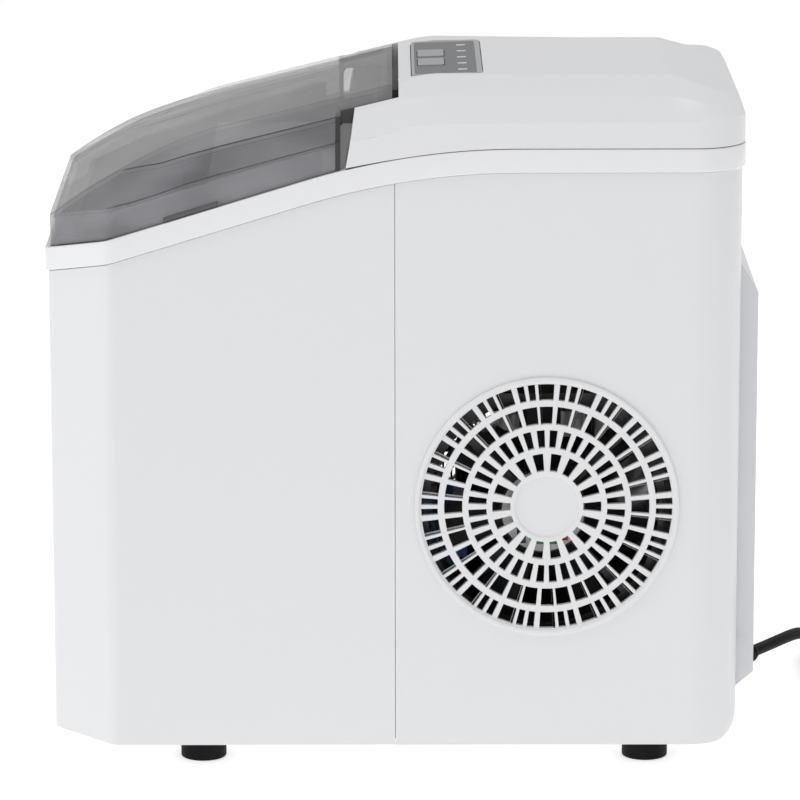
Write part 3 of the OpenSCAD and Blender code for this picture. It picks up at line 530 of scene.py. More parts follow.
# The coil: one layer winds inwards on the table, the next winds outwards on it. A turn keeps its
# radius and slips to the next one over a part of the turn, so that turns stay a diameter apart.
def coilPoints(s, perTurn=28):
    radii = np.array(s["radii"] + s["radii"][::-1])
    layers = np.array([0, 0, 0, 1, 1, 1])
    t = np.linspace(0, s["turns"], int(perTurn * s["turns"]) + 1)
    turn = np.minimum(t.astype(int), 5)
    share = np.clip((t - turn - 0.8) / 0.2, 0, 1)
    ease = share * share * (3 - 2 * share)
    after = np.minimum(turn + 1, 5)
    radius = radii[turn] * (1 - ease) + radii[after] * ease
    layer = layers[turn] * (1 - ease) + layers[after] * ease
    angle = np.radians(-90) - 2 * np.pi * t
    x = s["coilCentre"][0] + radius * np.cos(angle)
    y = s["coilCentre"][1] + radius * np.sin(angle)
    return sheet(x, y, s["lift"] + (0.5 + layer) * s["diameter"])


# A smooth line through points: a cubic between each pair, whose slope at a point is half the way
# between its neighbours
def smoothLine(points, steps):
    p = np.vstack([2 * points[0] - points[1], points, 2 * points[-1] - points[-2]])
    t = np.linspace(0, 1, steps, endpoint=False)[None, :, None]
    a, b, c, d = (p[k:len(p) - 3 + k][:, None, :] for k in range(4))
    square, cube = 2 * a - 5 * b + 4 * c - d, 3 * b - a - 3 * c + d
    line = 0.5 * (2 * b + (c - a) * t + square * t ** 2 + cube * t ** 3)
    return np.vstack([line.reshape(-1, 3), points[-1:]])


cordPoints = smoothLine(np.vstack([cord["route"], coilPoints(cord), cord["tail"]]), 3)


def makeCord(s, points):
    curve = bpy.data.curves.new("mains_lead", "CURVE")
    curve.dimensions = "3D"
    curve.bevel_depth = s["diameter"] / 2000
    curve.bevel_resolution = 3
    curve.use_fill_caps = True
    line = curve.splines.new("POLY")
    line.points.add(len(points) - 1)
    line.points.foreach_set("co", np.hstack([points / 1000, np.ones((len(points), 1))]).ravel())
    line.use_smooth = True
    curve.materials.append(finishes["sheath"])
    obj = bpy.data.objects.new("mains_lead", curve)
    scene.collection.objects.link(obj)
    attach(obj, "housing")
    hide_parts("power_cord", "cord_coil")
    return obj


lead = makeCord(cord, cordPoints)

# gland: a collar with ribs that grow towards the casing
gland = {"tip": (54, 178, 42), "turn": 55, "ribs": 5, "ribPitch": 3.2, "ribGrowth": 0.26}
glandAxis = np.array([np.sin(np.radians(gland["turn"])), -np.cos(np.radians(gland["turn"])), 0.0])
glandProfile = [[3.15, 0.2], [4.2, 0.2]]
for k in range(gland["ribs"]):
    r = 4.2 + gland["ribGrowth"] * k
    z = 1.6 + gland["ribPitch"] * k
    glandProfile += [[r, z], [r + 0.55, z + 0.4], [r + 0.6, z + 1.4], [r + 0.1, z + 1.9]]
glandProfile += [[5.6, 18.5], [6.1, 19.2], [6.15, 24.5], [0.0, 24.6]]
glandPart = lathe(softProfile(glandProfile, 0.35, 2), gland["tip"], glandAxis, 40)
glandPiece = makePiece("strain_relief", [glandPart], "sheath", ["cord_gland"], sharp=60)

plug = {"at": (-75, 291, 24.1)}


# The plug's section is a superellipse whose half sizes and squareness grow along X
def plugPart(s):
    along = np.array([-18, -17, -13, -9, -5, -2, 0.5, 2.2, 6, 14, 24, 31, 33.2, 34.0, 34.0])
    wide = np.array([4.3, 4.5, 4.9, 5.3, 5.9, 6.8, 8.6, 10.6, 12.0, 12.4, 12.5, 12.3, 11.6, 10.8, 0.0])
    high = np.array([4.3, 4.5, 4.9, 5.3, 5.8, 6.5, 7.8, 9.4, 10.5, 10.9, 11.0, 10.8, 10.2, 9.6, 0.0])
    power = np.interp(along, [-18, -2, 6, 40], [2.0, 2.2, 3.4, 4.0])[:, None]
    a = np.linspace(0, 2 * np.pi, 48, endpoint=False)[None]
    y = wide[:, None] * np.sign(np.cos(a)) * np.abs(np.cos(a)) ** (2 / power)
    z = high[:, None] * np.sign(np.sin(a)) * np.abs(np.sin(a)) ** (2 / power)
    return gridPart(sheet(along[:, None], y, z) + s["at"], closeCols=True)


plugPiece = makePiece("mains_plug", [plugPart(plug)], "sheath", sharp=50)


# the casing's outline and seam, in millimetres
frontBox, rearBox = boxOf("front_shell"), boxOf("rear_shell")
bandBox, coverBox = boxOf("trim_band"), boxOf("top_cover")
casing = {
    "halfWidth": rearBox[1][0],
    "frontHalf": 87.0,
    "frontY": frontBox[0][1],
    "chamferY": -147.0,
    "bumpDepth": 9.5,
    "radii": (6.0, 9.0, 25.0),
    "floorZ": frontBox[0][2],
    "lowerRearRadius": 13.0,
    "gap": 0.3,
    "splitY": (frontBox[1][1], rearBox[0][1]),
    "seamSlope": 17.0,
    "seamBendY": 2.0,
    "seamBendRadius": 360.0,
    "bandHeight": 11.8,
    "bandProud": 1.5,
    "bandDeep": 6.0,
    "underside": (82.0, 150.0),
    "wall": 2.4,
    "softEdge": 0.7,
}
casing["rearY"] = rearBox[1][1] - casing["bumpDepth"]
casing["seamZ"] = bandBox[1][2] - casing["bandHeight"]


# Height at y of a line that rises at this slope in degrees, bends in an arc tangent to it and goes on
# level at the top; without the arc it would bend at bendY
def slopeToLevel(y, top, slope, bendY, radius):
    slope = np.radians(slope)
    flatY = bendY + radius * np.tan(slope / 2)
    arcY = flatY - radius * np.sin(slope)
    bend = top - radius + np.sqrt(np.maximum(radius ** 2 - (flatY - y) ** 2, 0))
    line = top - (bendY - y) * np.tan(slope)
    return np.where(y >= flatY, top, np.where(y >= arcY, bend, line))


def seam(y):
    return slopeToLevel(y, *(casing[k] for k in ("seamZ", "seamSlope", "seamBendY", "seamBendRadius")))


# One rounded corner of a convex outline, as points and outward normals
def corner(before, at, after, radius, steps):
    u, v = (before - at) / np.linalg.norm(before - at), (after - at) / np.linalg.norm(after - at)
    half = np.arccos(u @ v) / 2
    centre = at + (u + v) / np.linalg.norm(u + v) * radius / np.sin(half)
    a, b = at + u * radius / np.tan(half) - centre, at + v * radius / np.tan(half) - centre
    t = np.linspace(0, 1, steps + 1)[:, None] * (np.pi - 2 * half)
    n = (np.sin(np.pi - 2 * half - t) * a + np.sin(t) * b) / np.sin(np.pi - 2 * half) / radius
    return centre + n * radius, n


# The right half of the plan outline from the front's middle to the rear's middle, as points and
# outward normals; straight runs are cut at the marks and into pieces no longer than the step
def halfOutline(step, marks):
    s = casing
    c = [np.array(p, float) for p in (
        (-s["frontHalf"], s["frontY"]), (s["frontHalf"], s["frontY"]), (s["halfWidth"], s["chamferY"]),
        (s["halfWidth"], s["rearY"]), (-s["halfWidth"], s["rearY"]))]
    corners = [corner(*c[k:k + 3], s["radii"][k], steps) for k, steps in enumerate((6, 6, 12))]
    p = np.vstack([[[0.0, s["frontY"]]]] + [k[0] for k in corners] + [[[0.0, s["rearY"]]]])
    n = np.vstack([[[0.0, -1.0]]] + [k[1] for k in corners] + [[[0.0, 1.0]]])
    outP, outN = [p[:1]], [n[:1]]
    for a, b, na, nb in zip(p[:-1], p[1:], n[:-1], n[1:]):
        pieces = max(1, int(np.ceil(np.linalg.norm(b - a) / step)))
        extra = [(m - a[1]) / (b[1] - a[1]) for m in marks if a[1] < m < b[1]]
        t = np.unique(np.concatenate([np.linspace(0, 1, pieces + 1)[1:], extra]))[:, None]
        outP.append(a + (b - a) * t)
        outN.append(np.repeat(nb[None], len(t), 0) if pieces > 1 else na + (nb - na) * t)
    return np.vstack(outP), np.vstack(outN)


def mirrored(p):
    return p * np.array([-1.0, 1.0])


split = casing["splitY"]
sideEnd = casing["rearY"] - casing["radii"][2]
half, halfN = halfOutline(7.0, (*split, sideEnd))
whole = np.vstack([half, mirrored(half[-2:0:-1])])
wholeN = np.vstack([halfN, mirrored(halfN[-2:0:-1])])


# The lower rear edge is rounded: at height z the outline is cut off at this y
def rearLimit(z):
    s = casing
    up = np.clip(s["floorZ"] + s["lowerRearRadius"] - z, 0, s["lowerRearRadius"])
    return s["rearY"] - s["lowerRearRadius"] + np.sqrt(s["lowerRearRadius"] ** 2 - up ** 2)


# A band of floor from the outline inwards to the rectangle of the underside opening
def floorRim(path):
    x, y = casing["underside"]
    inner = np.clip(path, (-x, -y), (x, y))
    return gridPart([sheet(*line.T, casing["floorZ"]) for line in (path, inner)])


# Front shell: outline points at rows between the floor and the seam
def frontShell():
    front = half[half[:, 1] <= split[0] + near]
    path = np.vstack([mirrored(front[:0:-1]), front])
    share = np.concatenate([[0, 0.004], np.linspace(0.03, 0.97, 16), [0.996, 1]])[:, None]
    top = seam(path[:, 1]) - casing["gap"]
    wall = sheet(*path.T, casing["floorZ"] + share * (top - casing["floorZ"]))
    makePiece("front_case", [gridPart(wall), floorRim(path)], "casing", ["front_shell"],
              wall=casing["wall"], edge=casing["softEdge"])


vents = {"count": 9, "pitch": 13.0, "first": 100.0, "high": 5.0, "half": 50.0}
bump = {"half": 88.0, "low": (33.0, 41.0), "high": (237.0, 253.0), "rows": (60, 80, 225, 270, 290),
        "columns": (88, 88, 70, vents["half"], 30, 10, 0.0)}
grilleAt = boxOf("right_grille")
# Each ring of slots has its inner and outer radius and, for one sector, each slot's middle and width
# in degrees. The hub and the rim are radii and how far they stand out; the rim's start at the radius.
grille = {
    "y": (grilleAt[0][1] + grilleAt[1][1]) / 2, "z": (grilleAt[0][2] + grilleAt[1][2]) / 2,
    "radius": (grilleAt[1][1] - grilleAt[0][1]) / 2 - 3.0, "hole": 1.2,
    "front": 0.2, "back": -2.8, "sectors": 18, "extraTurns": {5.8, 14.2}, "least": 0.3,
    "rings": [(18.1, 27.1, [(10, 11.4)]), (30.0, 39.0, [(4.85, 5.9), (15.15, 5.9)]),
              (42.0, 51.0, [(0, 6.4), (10, 8.4)]), (54.2, 62.4, [(0, 6.4), (7.45, 3.3), (12.55, 3.3)])],
    "hub": ([18.1, 16.2, 15.9, 15.6, 15.2, 8, 0.02], [0.2, 0.2, 0.1, -0.55, -0.6, -0.6, -0.6]),
    "rim": ([-0.1, 0.15, 0.35, 0.7, 1.2, 2.4, 2.8, 3.0, 3.0, 0.9, 0.9, -0.1],
            [0.2, 0.5, 1.15, 1.5, 1.6, 1.6, 1.45, 1.0, 0.1, 0.1, -2.8, -2.8]),
}


# How far the bump stands off the rear wall at height z
def bumpRise(z):
    depth = casing["bumpDepth"]
    return np.interp(z, [*bump["low"], *bump["high"]], [0, depth, depth, 0])


# The rear shell: a grid round the back, where the bump is a step in y, and on each side a patch from
# the round grille opening out to its four edges
def rearShell():
    s = casing
    slots = vents["first"] + vents["pitch"] * np.arange(vents["count"])
    rounded = s["floorZ"] + s["lowerRearRadius"] * (1 - np.cos(np.radians(np.linspace(0, 90, 9))))
    zs = np.unique(np.round(np.concatenate([
        rounded, bump["low"], bump["high"], bump["rows"], slots, slots + vents["high"],
        [s["seamZ"] - s["gap"]]]), 4))
    rear = half[half[:, 1] >= sideEnd - near]
    rear = rear[rear[:, 0] > bump["half"] + 0.1]
    inner = np.array(bump["columns"])
    xs = np.concatenate([rear[:, 0], inner])
    ys = np.concatenate([rear[:, 1], np.full(len(inner), s["rearY"])])
    proud = np.concatenate([np.zeros(len(rear) + 1), np.ones(len(inner) - 1)])
    xs, ys, proud = (np.concatenate([a, sign * a[-2::-1]]) for a, sign in ((xs, -1), (ys, 1), (proud, 1)))
    y = np.minimum(ys, rearLimit(zs)[:, None]) + proud * bumpRise(zs)[:, None]
    wall = sheet(xs, y, zs[:, None])
    low, high = zs[:-1, None], zs[1:, None]
    slotRow = ((low > slots - 0.01) & (high < slots + vents["high"] + 0.01)).any(1)[:, None]
    slotColumn = np.maximum(np.abs(xs[:-1]), np.abs(xs[1:])) <= vents["half"] + 0.01
    solid = ~(slotRow & slotColumn)
    onBump = (np.abs(xs[:-1] + xs[1:]) / 2 < bump["half"] + 0.01) & (low > bump["low"][0] - 0.1) & (
        high < bump["high"][1] + 0.1)
    # the bump gets the greyer finish, which is painted shade
    makePiece("rear_bump", [gridPart(wall, keep=solid & onBump)], "bump", wall=s["wall"],
              edge=s["softEdge"])
    run = half[(half[:, 1] >= split[1] - near) & (half[:, 1] <= sideEnd + near)][:, 1]
    run = np.unique(np.round(run, 4))
    splitZ = np.linspace(s["floorZ"], float(seam(split[1])) - s["gap"], 40)
    rim = np.vstack([line[:-1] for line in (
        sheet(sideEnd, zs), sheet(run[::-1], seam(run[::-1]) - s["gap"]), sheet(split[1], splitZ[::-1]),
        sheet(run, s["floorZ"]))])
    centre = np.array([grille["y"], grille["z"]])
    outwards = (rim - centre) / np.linalg.norm(rim - centre, axis=1)[:, None]
    hole = centre + outwards * (grille["radius"] + grille["hole"])
    share = np.array([0, 0.01, 0.05, 0.15, 0.35, 0.6, 0.85, 0.97, 1.0])[:, None, None]
    y, z = np.moveaxis(hole + (rim - hole) * share, -1, 0)
    lower = half[half[:, 1] >= split[1] - near]
    lower = sheet(lower[:, 0], np.minimum(lower[:, 1], rearLimit(s["floorZ"])))
    parts = [gridPart(wall, keep=solid & ~onBump)]
    parts += [gridPart(sheet(side * s["halfWidth"], y, z), closeCols=True) for side in (1, -1)]
    parts.append(floorRim(np.vstack([lower, mirrored(lower[:0:-1])])))
    makePiece("rear_case", parts, "casing", ["rear_shell"], wall=s["wall"], edge=s["softEdge"])


# Trim band: a rounded rectangle carried round the whole outline, its height following the seam
def trimBand():
    h, out, deep = casing["bandHeight"], casing["bandProud"], casing["bandDeep"]
    section = [[-deep, h / 2], [-deep, 0], [out, 0], [out, h], [-deep, h], [-deep, h / 2]]
    section = softProfile(section, 0.9, 4)[:-1]
    x, y = np.moveaxis(whole + section[:, None, :1] * wholeN, -1, 0)
    grid = sheet(x, y, seam(whole[:, 1]) + section[:, 1:2])
    makePiece("middle_band", [gridPart(grid, True, True)], "band", ["trim_band"], sharp=50)


# crown: the surface shared by the lid and the cover, as heights over the plan. Each crease is given
# by y and its distance from the middle, and each drop by y and the fall below the top line there.
crown = {
    "top": coverBox[1][2],
    "slope": 13.77,
    "bendY": 11.2, "bendRadius": 60.0,
    "noseY": -90.0, "noseRadius": 240.0,
    "rearFacetY": 134.0, "rearFacetDrop": 11.6,
    "flatHalf": ([-178, -144.5, -105, 170], [87, 80, 62, 62]),
    "slopeHalf": ([-178, -144.5, -121, -100, 170], [87, 80, 92.5, 98, 98]),
    "slopeDrop": ([-144.5, -121, -30, 0, 91, 134, 150, 161, 166], [0, 4.2, 3.8, 4, 5.2, 5.2, 3.6, 2, 1.2]),
    "shoulderDrop": ([-178, -145, -134, -121, -98, -60, -28, 134, 150, 161, 166],
                     [9.6, 9.8, 12.6, 14, 14, 13, 12.2, 12.2, 6.5, 2.8, 2]),
    "shoulderIn": 2.5, "edgeSlope": 0.55,
}


# Top line seen from the side: nose arc, slope, short arc, level, rear facet
def topLine(y):
    c = crown
    slope = np.radians(c["slope"])
    noseTop = c["top"] - (c["bendY"] - c["noseY"]) * np.tan(slope)
    tilt = np.arcsin(np.clip(np.sin(slope) + (c["noseY"] - y) / c["noseRadius"], -1, 1))
    nose = noseTop - c["noseRadius"] * (np.cos(slope) - np.cos(tilt))
    rear = c["top"] - c["rearFacetDrop"] * (y - c["rearFacetY"]) / (casing["rearY"] - c["rearFacetY"])
    middle = slopeToLevel(y, c["top"], c["slope"], c["bendY"], c["bendRadius"])
    return np.where(y >= c["rearFacetY"], rear, np.where(y >= c["noseY"], middle, nose))


# Height over the plan: flat to the first crease, then two straight falls to the shoulder; the mean
# over a small window in x and y rounds the creases
def crownHeight(x, y, soften):
    def sharp(ax, y):
        x1 = np.interp(y, *crown["flatHalf"])
        x2 = np.maximum(np.interp(y, *crown["slopeHalf"]), x1 + 0.01)
        x3 = np.maximum(casing["halfWidth"] - crown["shoulderIn"], x2 + 0.01)
        d2, d3 = np.interp(y, *crown["slopeDrop"]), np.interp(y, *crown["shoulderDrop"])
        first = d2 * (ax - x1) / (x2 - x1)
        second = d2 + (d3 - d2) * (ax - x2) / (x3 - x2)
        edge = d3 + crown["edgeSlope"] * (ax - x3)
        return topLine(y) - np.where(ax <= x1, 0, np.where(ax <= x2, first, np.where(ax <= x3, second, edge)))
    weights = ((-1, 0.25), (0, 0.5), (1, 0.25))
    return sum(wi * wj * sharp(np.abs(np.abs(x) + i * soften), y + j * soften)
               for i, wi in weights for j, wj in weights)


def onCrown(x, y, soften):
    x, y = np.broadcast_arrays(x, y)
    return sheet(x, y, crownHeight(x, y, soften))


# Columns across one row of half width reach: even runs, a fan of close ones at each crease, and some
# close to the edge
def columns(reach, y):
    x1 = np.minimum(np.interp(y, *crown["flatHalf"]), reach * 0.985)
    x2 = np.minimum(np.maximum(np.interp(y, *crown["slopeHalf"]), x1 + 1.5), reach * 0.993)
    fan = np.array([-1.9, -0.82, -0.72, 0.0, 0.72, 0.82, 1.9])
    spread = np.minimum(1.0, (reach - x2) / 8.0)
    row = np.concatenate([
        np.linspace(0, x1 - 3.2, 9), x1 + fan * min(1.0, (x2 - x1) / 6),
        np.linspace(x1 + 3.0, np.maximum(x2 - 3.4, x1 + 3.2), 4), x2 + fan * spread,
        np.linspace(x2 + 3.2 * spread, reach - 2.4, 4), reach - np.array([1.5, 0.8, 0.7, 0.0])])
    return np.maximum.accumulate(np.clip(row, 0, reach))


# Right side of the plan pushed inwards by the inset, as rows from the front to the rear; rows that
# come out at nearly the same y are left out
def sideRows(inset, y0, y1, marks):
    p, n = halfOutline(4.0, (y0 + near, y1 - near, *marks))
    p = p - inset * n
    p = p[(p[:, 1] > y0 - 0.01) & (p[:, 1] < y1 + 0.01) & (p[:, 0] > 60)]
    return p[np.append(np.diff(p[:, 1]) > 0.04, True)]


# Where the lid and the cover end, just above the band
def bandTop(y):
    return seam(y) + casing["bandHeight"] + casing["gap"]


frontShell()
rearShell()
trimBand()
print("stage: shells and band")

cover = {"inset": -1.2, "step": 89.1, "lipY": -3.4, "faceY": 0.3, "faceFoot": 309.0, "wall": 2.8,
         "armTop": (-24.7, 333.0), "armFoot": (-29.8, 304.0), "armRoofY": -25.0, "armFootY": -31.0,
         "soften": 0.8, "panelY": (0.8, 42.0), "panelX": 58.8,
         "shares": [0, 0.03, 0.1, 0.3, 0.6, 0.9, 1.0]}
# the control panel's opening in the roof: middle, width, depth, corner radius and its wall's height
opening = {"y": 21.0, "wide": 109.8, "deep": 36.3, "radius": 4.4, "down": 2.4}


# Slanted front edge of the arms: y at height z
def armFront(z):
    (ya, za), (yb, zb) = cover["armTop"], cover["armFoot"]
    return ya + (yb - ya) * (z - za) / (zb - za)


# The block of roof cells cut out is filled by a ring: its edge is joined to the nearest points of the
# rounded opening, its corners to the whole corner arcs, and a short wall goes down from there
def panelOpening(full, cut):
    o = opening
    rows, cols = np.where(cut.any(1))[0], np.where(cut.any(0))[0]
    block = full[rows[0]:rows[-1] + 2, cols[0]:cols[-1] + 2]
    x1, y1 = o["wide"] / 2 - o["radius"], o["deep"] / 2 - o["radius"]
    rim, hole = [], []
    for k, run in enumerate((block[:, -1], block[-1, ::-1], block[::-1, 0], block[0])):
        middle = run[1:-1]
        x, y = np.clip(middle[:, 0], -x1, x1), np.clip(middle[:, 1] - o["y"], -y1, y1)
        if k % 2 == 0:
            x = (1 - k) * o["wide"] / 2
        else:
            y = (2 - k) * o["deep"] / 2
        turn = arc((x1 * (1 if k in (0, 3) else -1), y1 * (1 if k < 2 else -1)), o["radius"], 90 * k,
                   90 * k + 90, 6)
        rim += [middle, np.repeat(run[-1:], len(turn), 0)]
        hole += [sheet(x, y), turn]
    x, y = (np.vstack(hole) + [0, o["y"]]).T
    edge = onCrown(x, y, cover["soften"])
    return gridPart([np.vstack(rim), edge, edge - [0, 0, o["down"]]], closeCols=True)


# Cover: roof rows over the plan from the lip to the rear, two arms in front of it, walls down to
# the band, and the lip's folded edge in front
def topCover():
    s = cover
    outer = casing["halfWidth"] - s["inset"]
    rows = np.vstack([[outer, s["lipY"]], sideRows(s["inset"], s["lipY"], 400, s["panelY"])])
    grid = []
    for reach, y in rows:
        row = columns(min(reach, outer), min(y, sideEnd))
        row = row * (reach / row[-1])
        if y <= s["lipY"] + 0.01:
            row[np.argmin(np.abs(row - s["step"]))] = s["step"]
        grid.append(onCrown(row, y, s["soften"]))
    full = bothSides(np.array(grid))
    cellX = np.abs(full[:-1, :-1, 0] + full[:-1, 1:, 0]) / 2
    cellY = (full[:-1, :-1, 1] + full[1:, :-1, 1]) / 2
    cut = (cellX < s["panelX"]) & (cellY > s["panelY"][0]) & (cellY < s["panelY"][1])
    edge = full[:, -1]
    foot = bandTop(edge[:, 1])
    parts = [gridPart(full, keep=~cut), panelOpening(full, cut)]
    parts += [wallDown(edge * side, foot, s["shares"]) for side in sides]
    parts.append(wallDown(full[-1], foot[-1], s["shares"]))
    # arms: roof, outer wall, inner wall and slanted end
    armX = grid[0][grid[0][:, 0] >= s["step"] - 0.01, 0]
    endZ = onCrown(armX, s["armRoofY"], s["soften"])[:, 2]
    endY = armFront(endZ)
    roof = onCrown(armX, endY + (s["lipY"] - endY) * np.linspace(0, 1, 7)[:, None], s["soften"])
    roof[0, :, 2] = endZ
    share = np.array(s["shares"])[:, None]
    for side in sides:
        parts.append(gridPart(roof * side))
        for line in (roof[:, -1], roof[:, 0]):
            z = line[:, 2] + (bandTop(line[:, 1]) - line[:, 2]) * share
            back = (line[:, 1] - s["lipY"]) / (line[0, 1] - s["lipY"])
            parts.append(gridPart(sheet(line[0, 0], (armFront(z) - s["lipY"]) * back + s["lipY"], z) * side))
        z = endZ + (bandTop(s["armFootY"]) - endZ) * share
        parts.append(gridPart(sheet(armX, armFront(z), z) * side))
    # lip: down its edge, back under it, and down the front wall
    down = np.array([0, 0, s["wall"]])
    lip = full[0][np.abs(full[0][:, 0]) <= s["step"] + 0.01]
    under = onCrown(lip[:, 0], s["faceY"], s["soften"]) - down
    parts.append(gridPart([lip, lip - down, under, sheet(lip[:, 0], s["faceY"], s["faceFoot"])]))
    makePiece("upper_cover", parts, "casing", ["top_cover"], edge=1.3, sharp=26, segments=4,
              merge=0.02)


# the end band is close to the skirt's rear end, and the strip is the tongue's last part; shade is painted on
# both
lidShape = {"inset": 1.0, "tongueHalf": 88.5, "soften": 0.5, "endY": -32.1, "rearY": boxOf("lid")[1][1],
            "wall": 2.4, "lowest": 323.0, "endBand": 2.4, "strip": 5.0, "stripShade": 0.35, "crease": 0.75,
            "creaseFrontY": -142.0, "shares": [0, 0.04, 0.12, 0.4, 0.7, 0.95, 1.0],
            "lip": {"from": -119.0, "to": -92.0, "high": 2.6, "proud": 0.9}}


# How much shade is painted on a point of the lid: on both creases and along the shoulder, at the skirt's
# rear end and foot, and on the tongue's last strip
def lidShadeMarks(p):
    s = lidShape
    x, y, z = np.abs(p[:, 0]), p[:, 1], p[:, 2]
    x1, x2 = np.interp(y, *crown["flatHalf"]), np.interp(y, *crown["slopeHalf"])
    roof = np.abs(z - crownHeight(x, y, s["soften"])) < 0.3
    marks = [
        (0.6, roof & (np.abs(x - x1) < s["crease"])),
        (1.0, roof & (np.abs(x - x2) < s["crease"]) & (y > s["creaseFrontY"])),
        (0.8, roof & (x > casing["halfWidth"] - s["inset"] - s["crease"])),
        (1.0, (x > s["tongueHalf"] - 0.01) & (y > s["endY"] - s["endBand"] - 0.01)),
        (s["stripShade"], y > s["rearY"] - s["strip"] - 0.01),
        (0.9, z < bandTop(y) + 0.05)]
    return np.max([strength * where for strength, where in marks], axis=0)


# Lid: roof rows over the plan from the nose back, a skirt down to the band round the front and
# sides, and a narrower tongue with a low edge between the cover's arms
def lidPiece():
    s = lidShape
    bandY = s["endY"] - s["endBand"]
    rows = sideRows(s["inset"], -400, s["endY"], (bandY - 0.1, bandY))
    rows = np.vstack([rows[rows[:, 1] < s["endY"] - 0.5], [casing["halfWidth"] - s["inset"], s["endY"]]])
    grid = []
    for reach, y in rows:
        row = columns(reach, y)
        if y > s["endY"] - 0.01:
            row[np.argmin(np.abs(row - s["tongueHalf"]))] = s["tongueHalf"]
        grid.append(onCrown(row, y, s["soften"]))
    full = bothSides(np.array(grid))
    edge = full[:, -1]
    loop = np.vstack([edge[::-1], full[0][-2:0:-1], edge * sides[1]])
    parts = [gridPart(full), wallDown(loop, bandTop(loop[:, 1]), s["shares"])]
    # rear end of the skirt, between the tongue and the outer wall
    last = grid[-1]
    wing = last[last[:, 0] >= s["tongueHalf"] - 0.01]
    parts += [wallDown(wing * side, bandTop(s["endY"]), s["shares"]) for side in sides]
    # tongue: roof, side edges, rear edge
    middle = bothSides(last[last[:, 0] <= s["tongueHalf"] + 0.01])
    stripY = s["rearY"] - s["strip"]
    y = np.array([*np.linspace(s["endY"], stripY - 0.1, 5), stripY, s["rearY"]])[:, None]
    roof = onCrown(middle[:, 0], y, s["soften"])
    roof[0, :, 2] = middle[:, 2]
    parts.append(gridPart(roof))
    for line in (roof[:, 0], roof[:, -1], roof[-1]):
        parts.append(wallDown(line, np.minimum(s["lowest"], line[:, 2] - 2.5), [0, 0.3, 1.0]))
    makePiece("front_lid", parts, "smoke", ["lid"], "lid", wall=s["wall"], edge=0.8, sharp=26,
              segments=3, merge=0.02, marks=lidShadeMarks)


# A rounded bar carried along y on both sides: its section is given outwards and upwards
def sideBar(section, y, foot, out):
    grid = sheet(casing["halfWidth"] + out + section[:, :1], y, foot(y) + section[:, 1:2])
    ends = [np.stack([grid[:, k], grid[:, k] * 0 + grid[:, k].mean(0)]) for k in (0, -1)]
    parts = [gridPart(grid, True)] + [gridPart(end, closeCols=True) for end in ends]
    return [(p * side, f) for p, f in parts for side in sides]


rim = {"rise": 10.0, "inset": 13.8, "radius": 1.3, "curlY": -139.0, "curl": 8.0, "rear": -43.0}


# Top of the liner's rim, curling down at its front end
def rimTop(y):
    drop = rim["curl"] - np.sqrt(rim["curl"] ** 2 - np.clip(rim["curlY"] - y, 0, rim["curl"]) ** 2)
    return seam(y) + casing["bandHeight"] + rim["rise"] - drop


# Finger lips low on the lid's skirt, and the bright bead along the liner's rim behind it
def lidDetails():
    lip = lidShape["lip"]
    w, h = lip["proud"], lip["high"]
    section = [[-1.2, h / 2], [-1.2, 0.1], [w, 0.1], [w, h], [-1.2, h], [-1.2, h / 2]]
    section = softProfile(section, 0.5, 3)[:-1]
    y = np.linspace(lip["from"], lip["to"], 12)
    makePiece("finger_lips", sideBar(section, y, bandTop, -lidShape["inset"]), "lip", body="lid",
              sharp=50)
    y = np.concatenate([rim["curlY"] - rim["curl"] * np.sin(np.radians(np.linspace(85, 5, 9))),
                        np.linspace(rim["curlY"], rim["rear"], 30)])
    bead = arc((0, 0), rim["radius"], 0, 330, 11)
    makePiece("rim_bead", sideBar(bead, y, rimTop, -rim["inset"]), "inner", sharp=60)


topCover()
lidPiece()
lidDetails()
print("stage: cover and lid")


# control panel: its own frame is tilted about X on the cover's top
panel = {"origin": (0, 21, 342.4), "tilt": 2.0, "wide": 109.0, "deep": 35.5, "frame": (1.6, 2.8, 2.0),
         "corner": 4.0, "innerCorner": 3.0, "foilGap": 0.05, "foilZ": -0.4, "keyWide": 21.0,
         "keyDeep": 13.5, "keyX": 14.2, "keyY": -7.8, "keyGap": 0.3, "lightX": 20.0, "lightY": 8.0,
         "lightWide": 3.0, "lightLong": 4.6,
         "section": ((0, -1.9), (0, -0.35), (0.12, 0.0), (0.45, 0.0), (0.6, -0.12), (1, -0.42), (1, -1.2))}


def onPanel(points):
    a = np.radians(panel["tilt"])
    x, y, z = np.moveaxis(np.asarray(points, float), -1, 0)
    return sheet(x, y * np.cos(a) - z * np.sin(a), y * np.sin(a) + z * np.cos(a)) + panel["origin"]


# Rounded rectangle as a closed ring, with corner arcs
def ringOf(wide, deep, radius, steps=6, centre=(0, 0)):
    x, y = wide / 2 - radius, deep / 2 - radius
    corners = ((x, y), (-x, y), (-x, -y), (x, -y))
    return np.vstack([arc(at, radius, 90 * k, 90 * k + 90, steps) for k, at in enumerate(corners)]) + centre


# A plate whose top edge is rolled: rings shrink inwards as they rise, then close on the middle
def platePart(wide, deep, radius, z0, z1, roll, centre, dish=0.0):
    a = np.radians(np.linspace(0, 90, 5))
    insets = np.concatenate([[roll], [0], roll * (1 - np.cos(a)), [roll + 1.5, min(wide, deep) / 2 - 0.2]])
    heights = np.concatenate([[z0], [z0], z1 - roll + roll * np.sin(a), [z1 - dish, z1 - dish]])
    rings = [sheet(*ringOf(wide - 2 * i, deep - 2 * i, max(radius - i, 0.1), 6, centre).T, h)
             for i, h in zip(insets, heights)]
    cap = rings[-1] * [0, 0, 1] + [*centre, 0]
    return gridPart(onPanel([*rings, cap + (rings[-1] - cap) * 0.02]), closeCols=True)


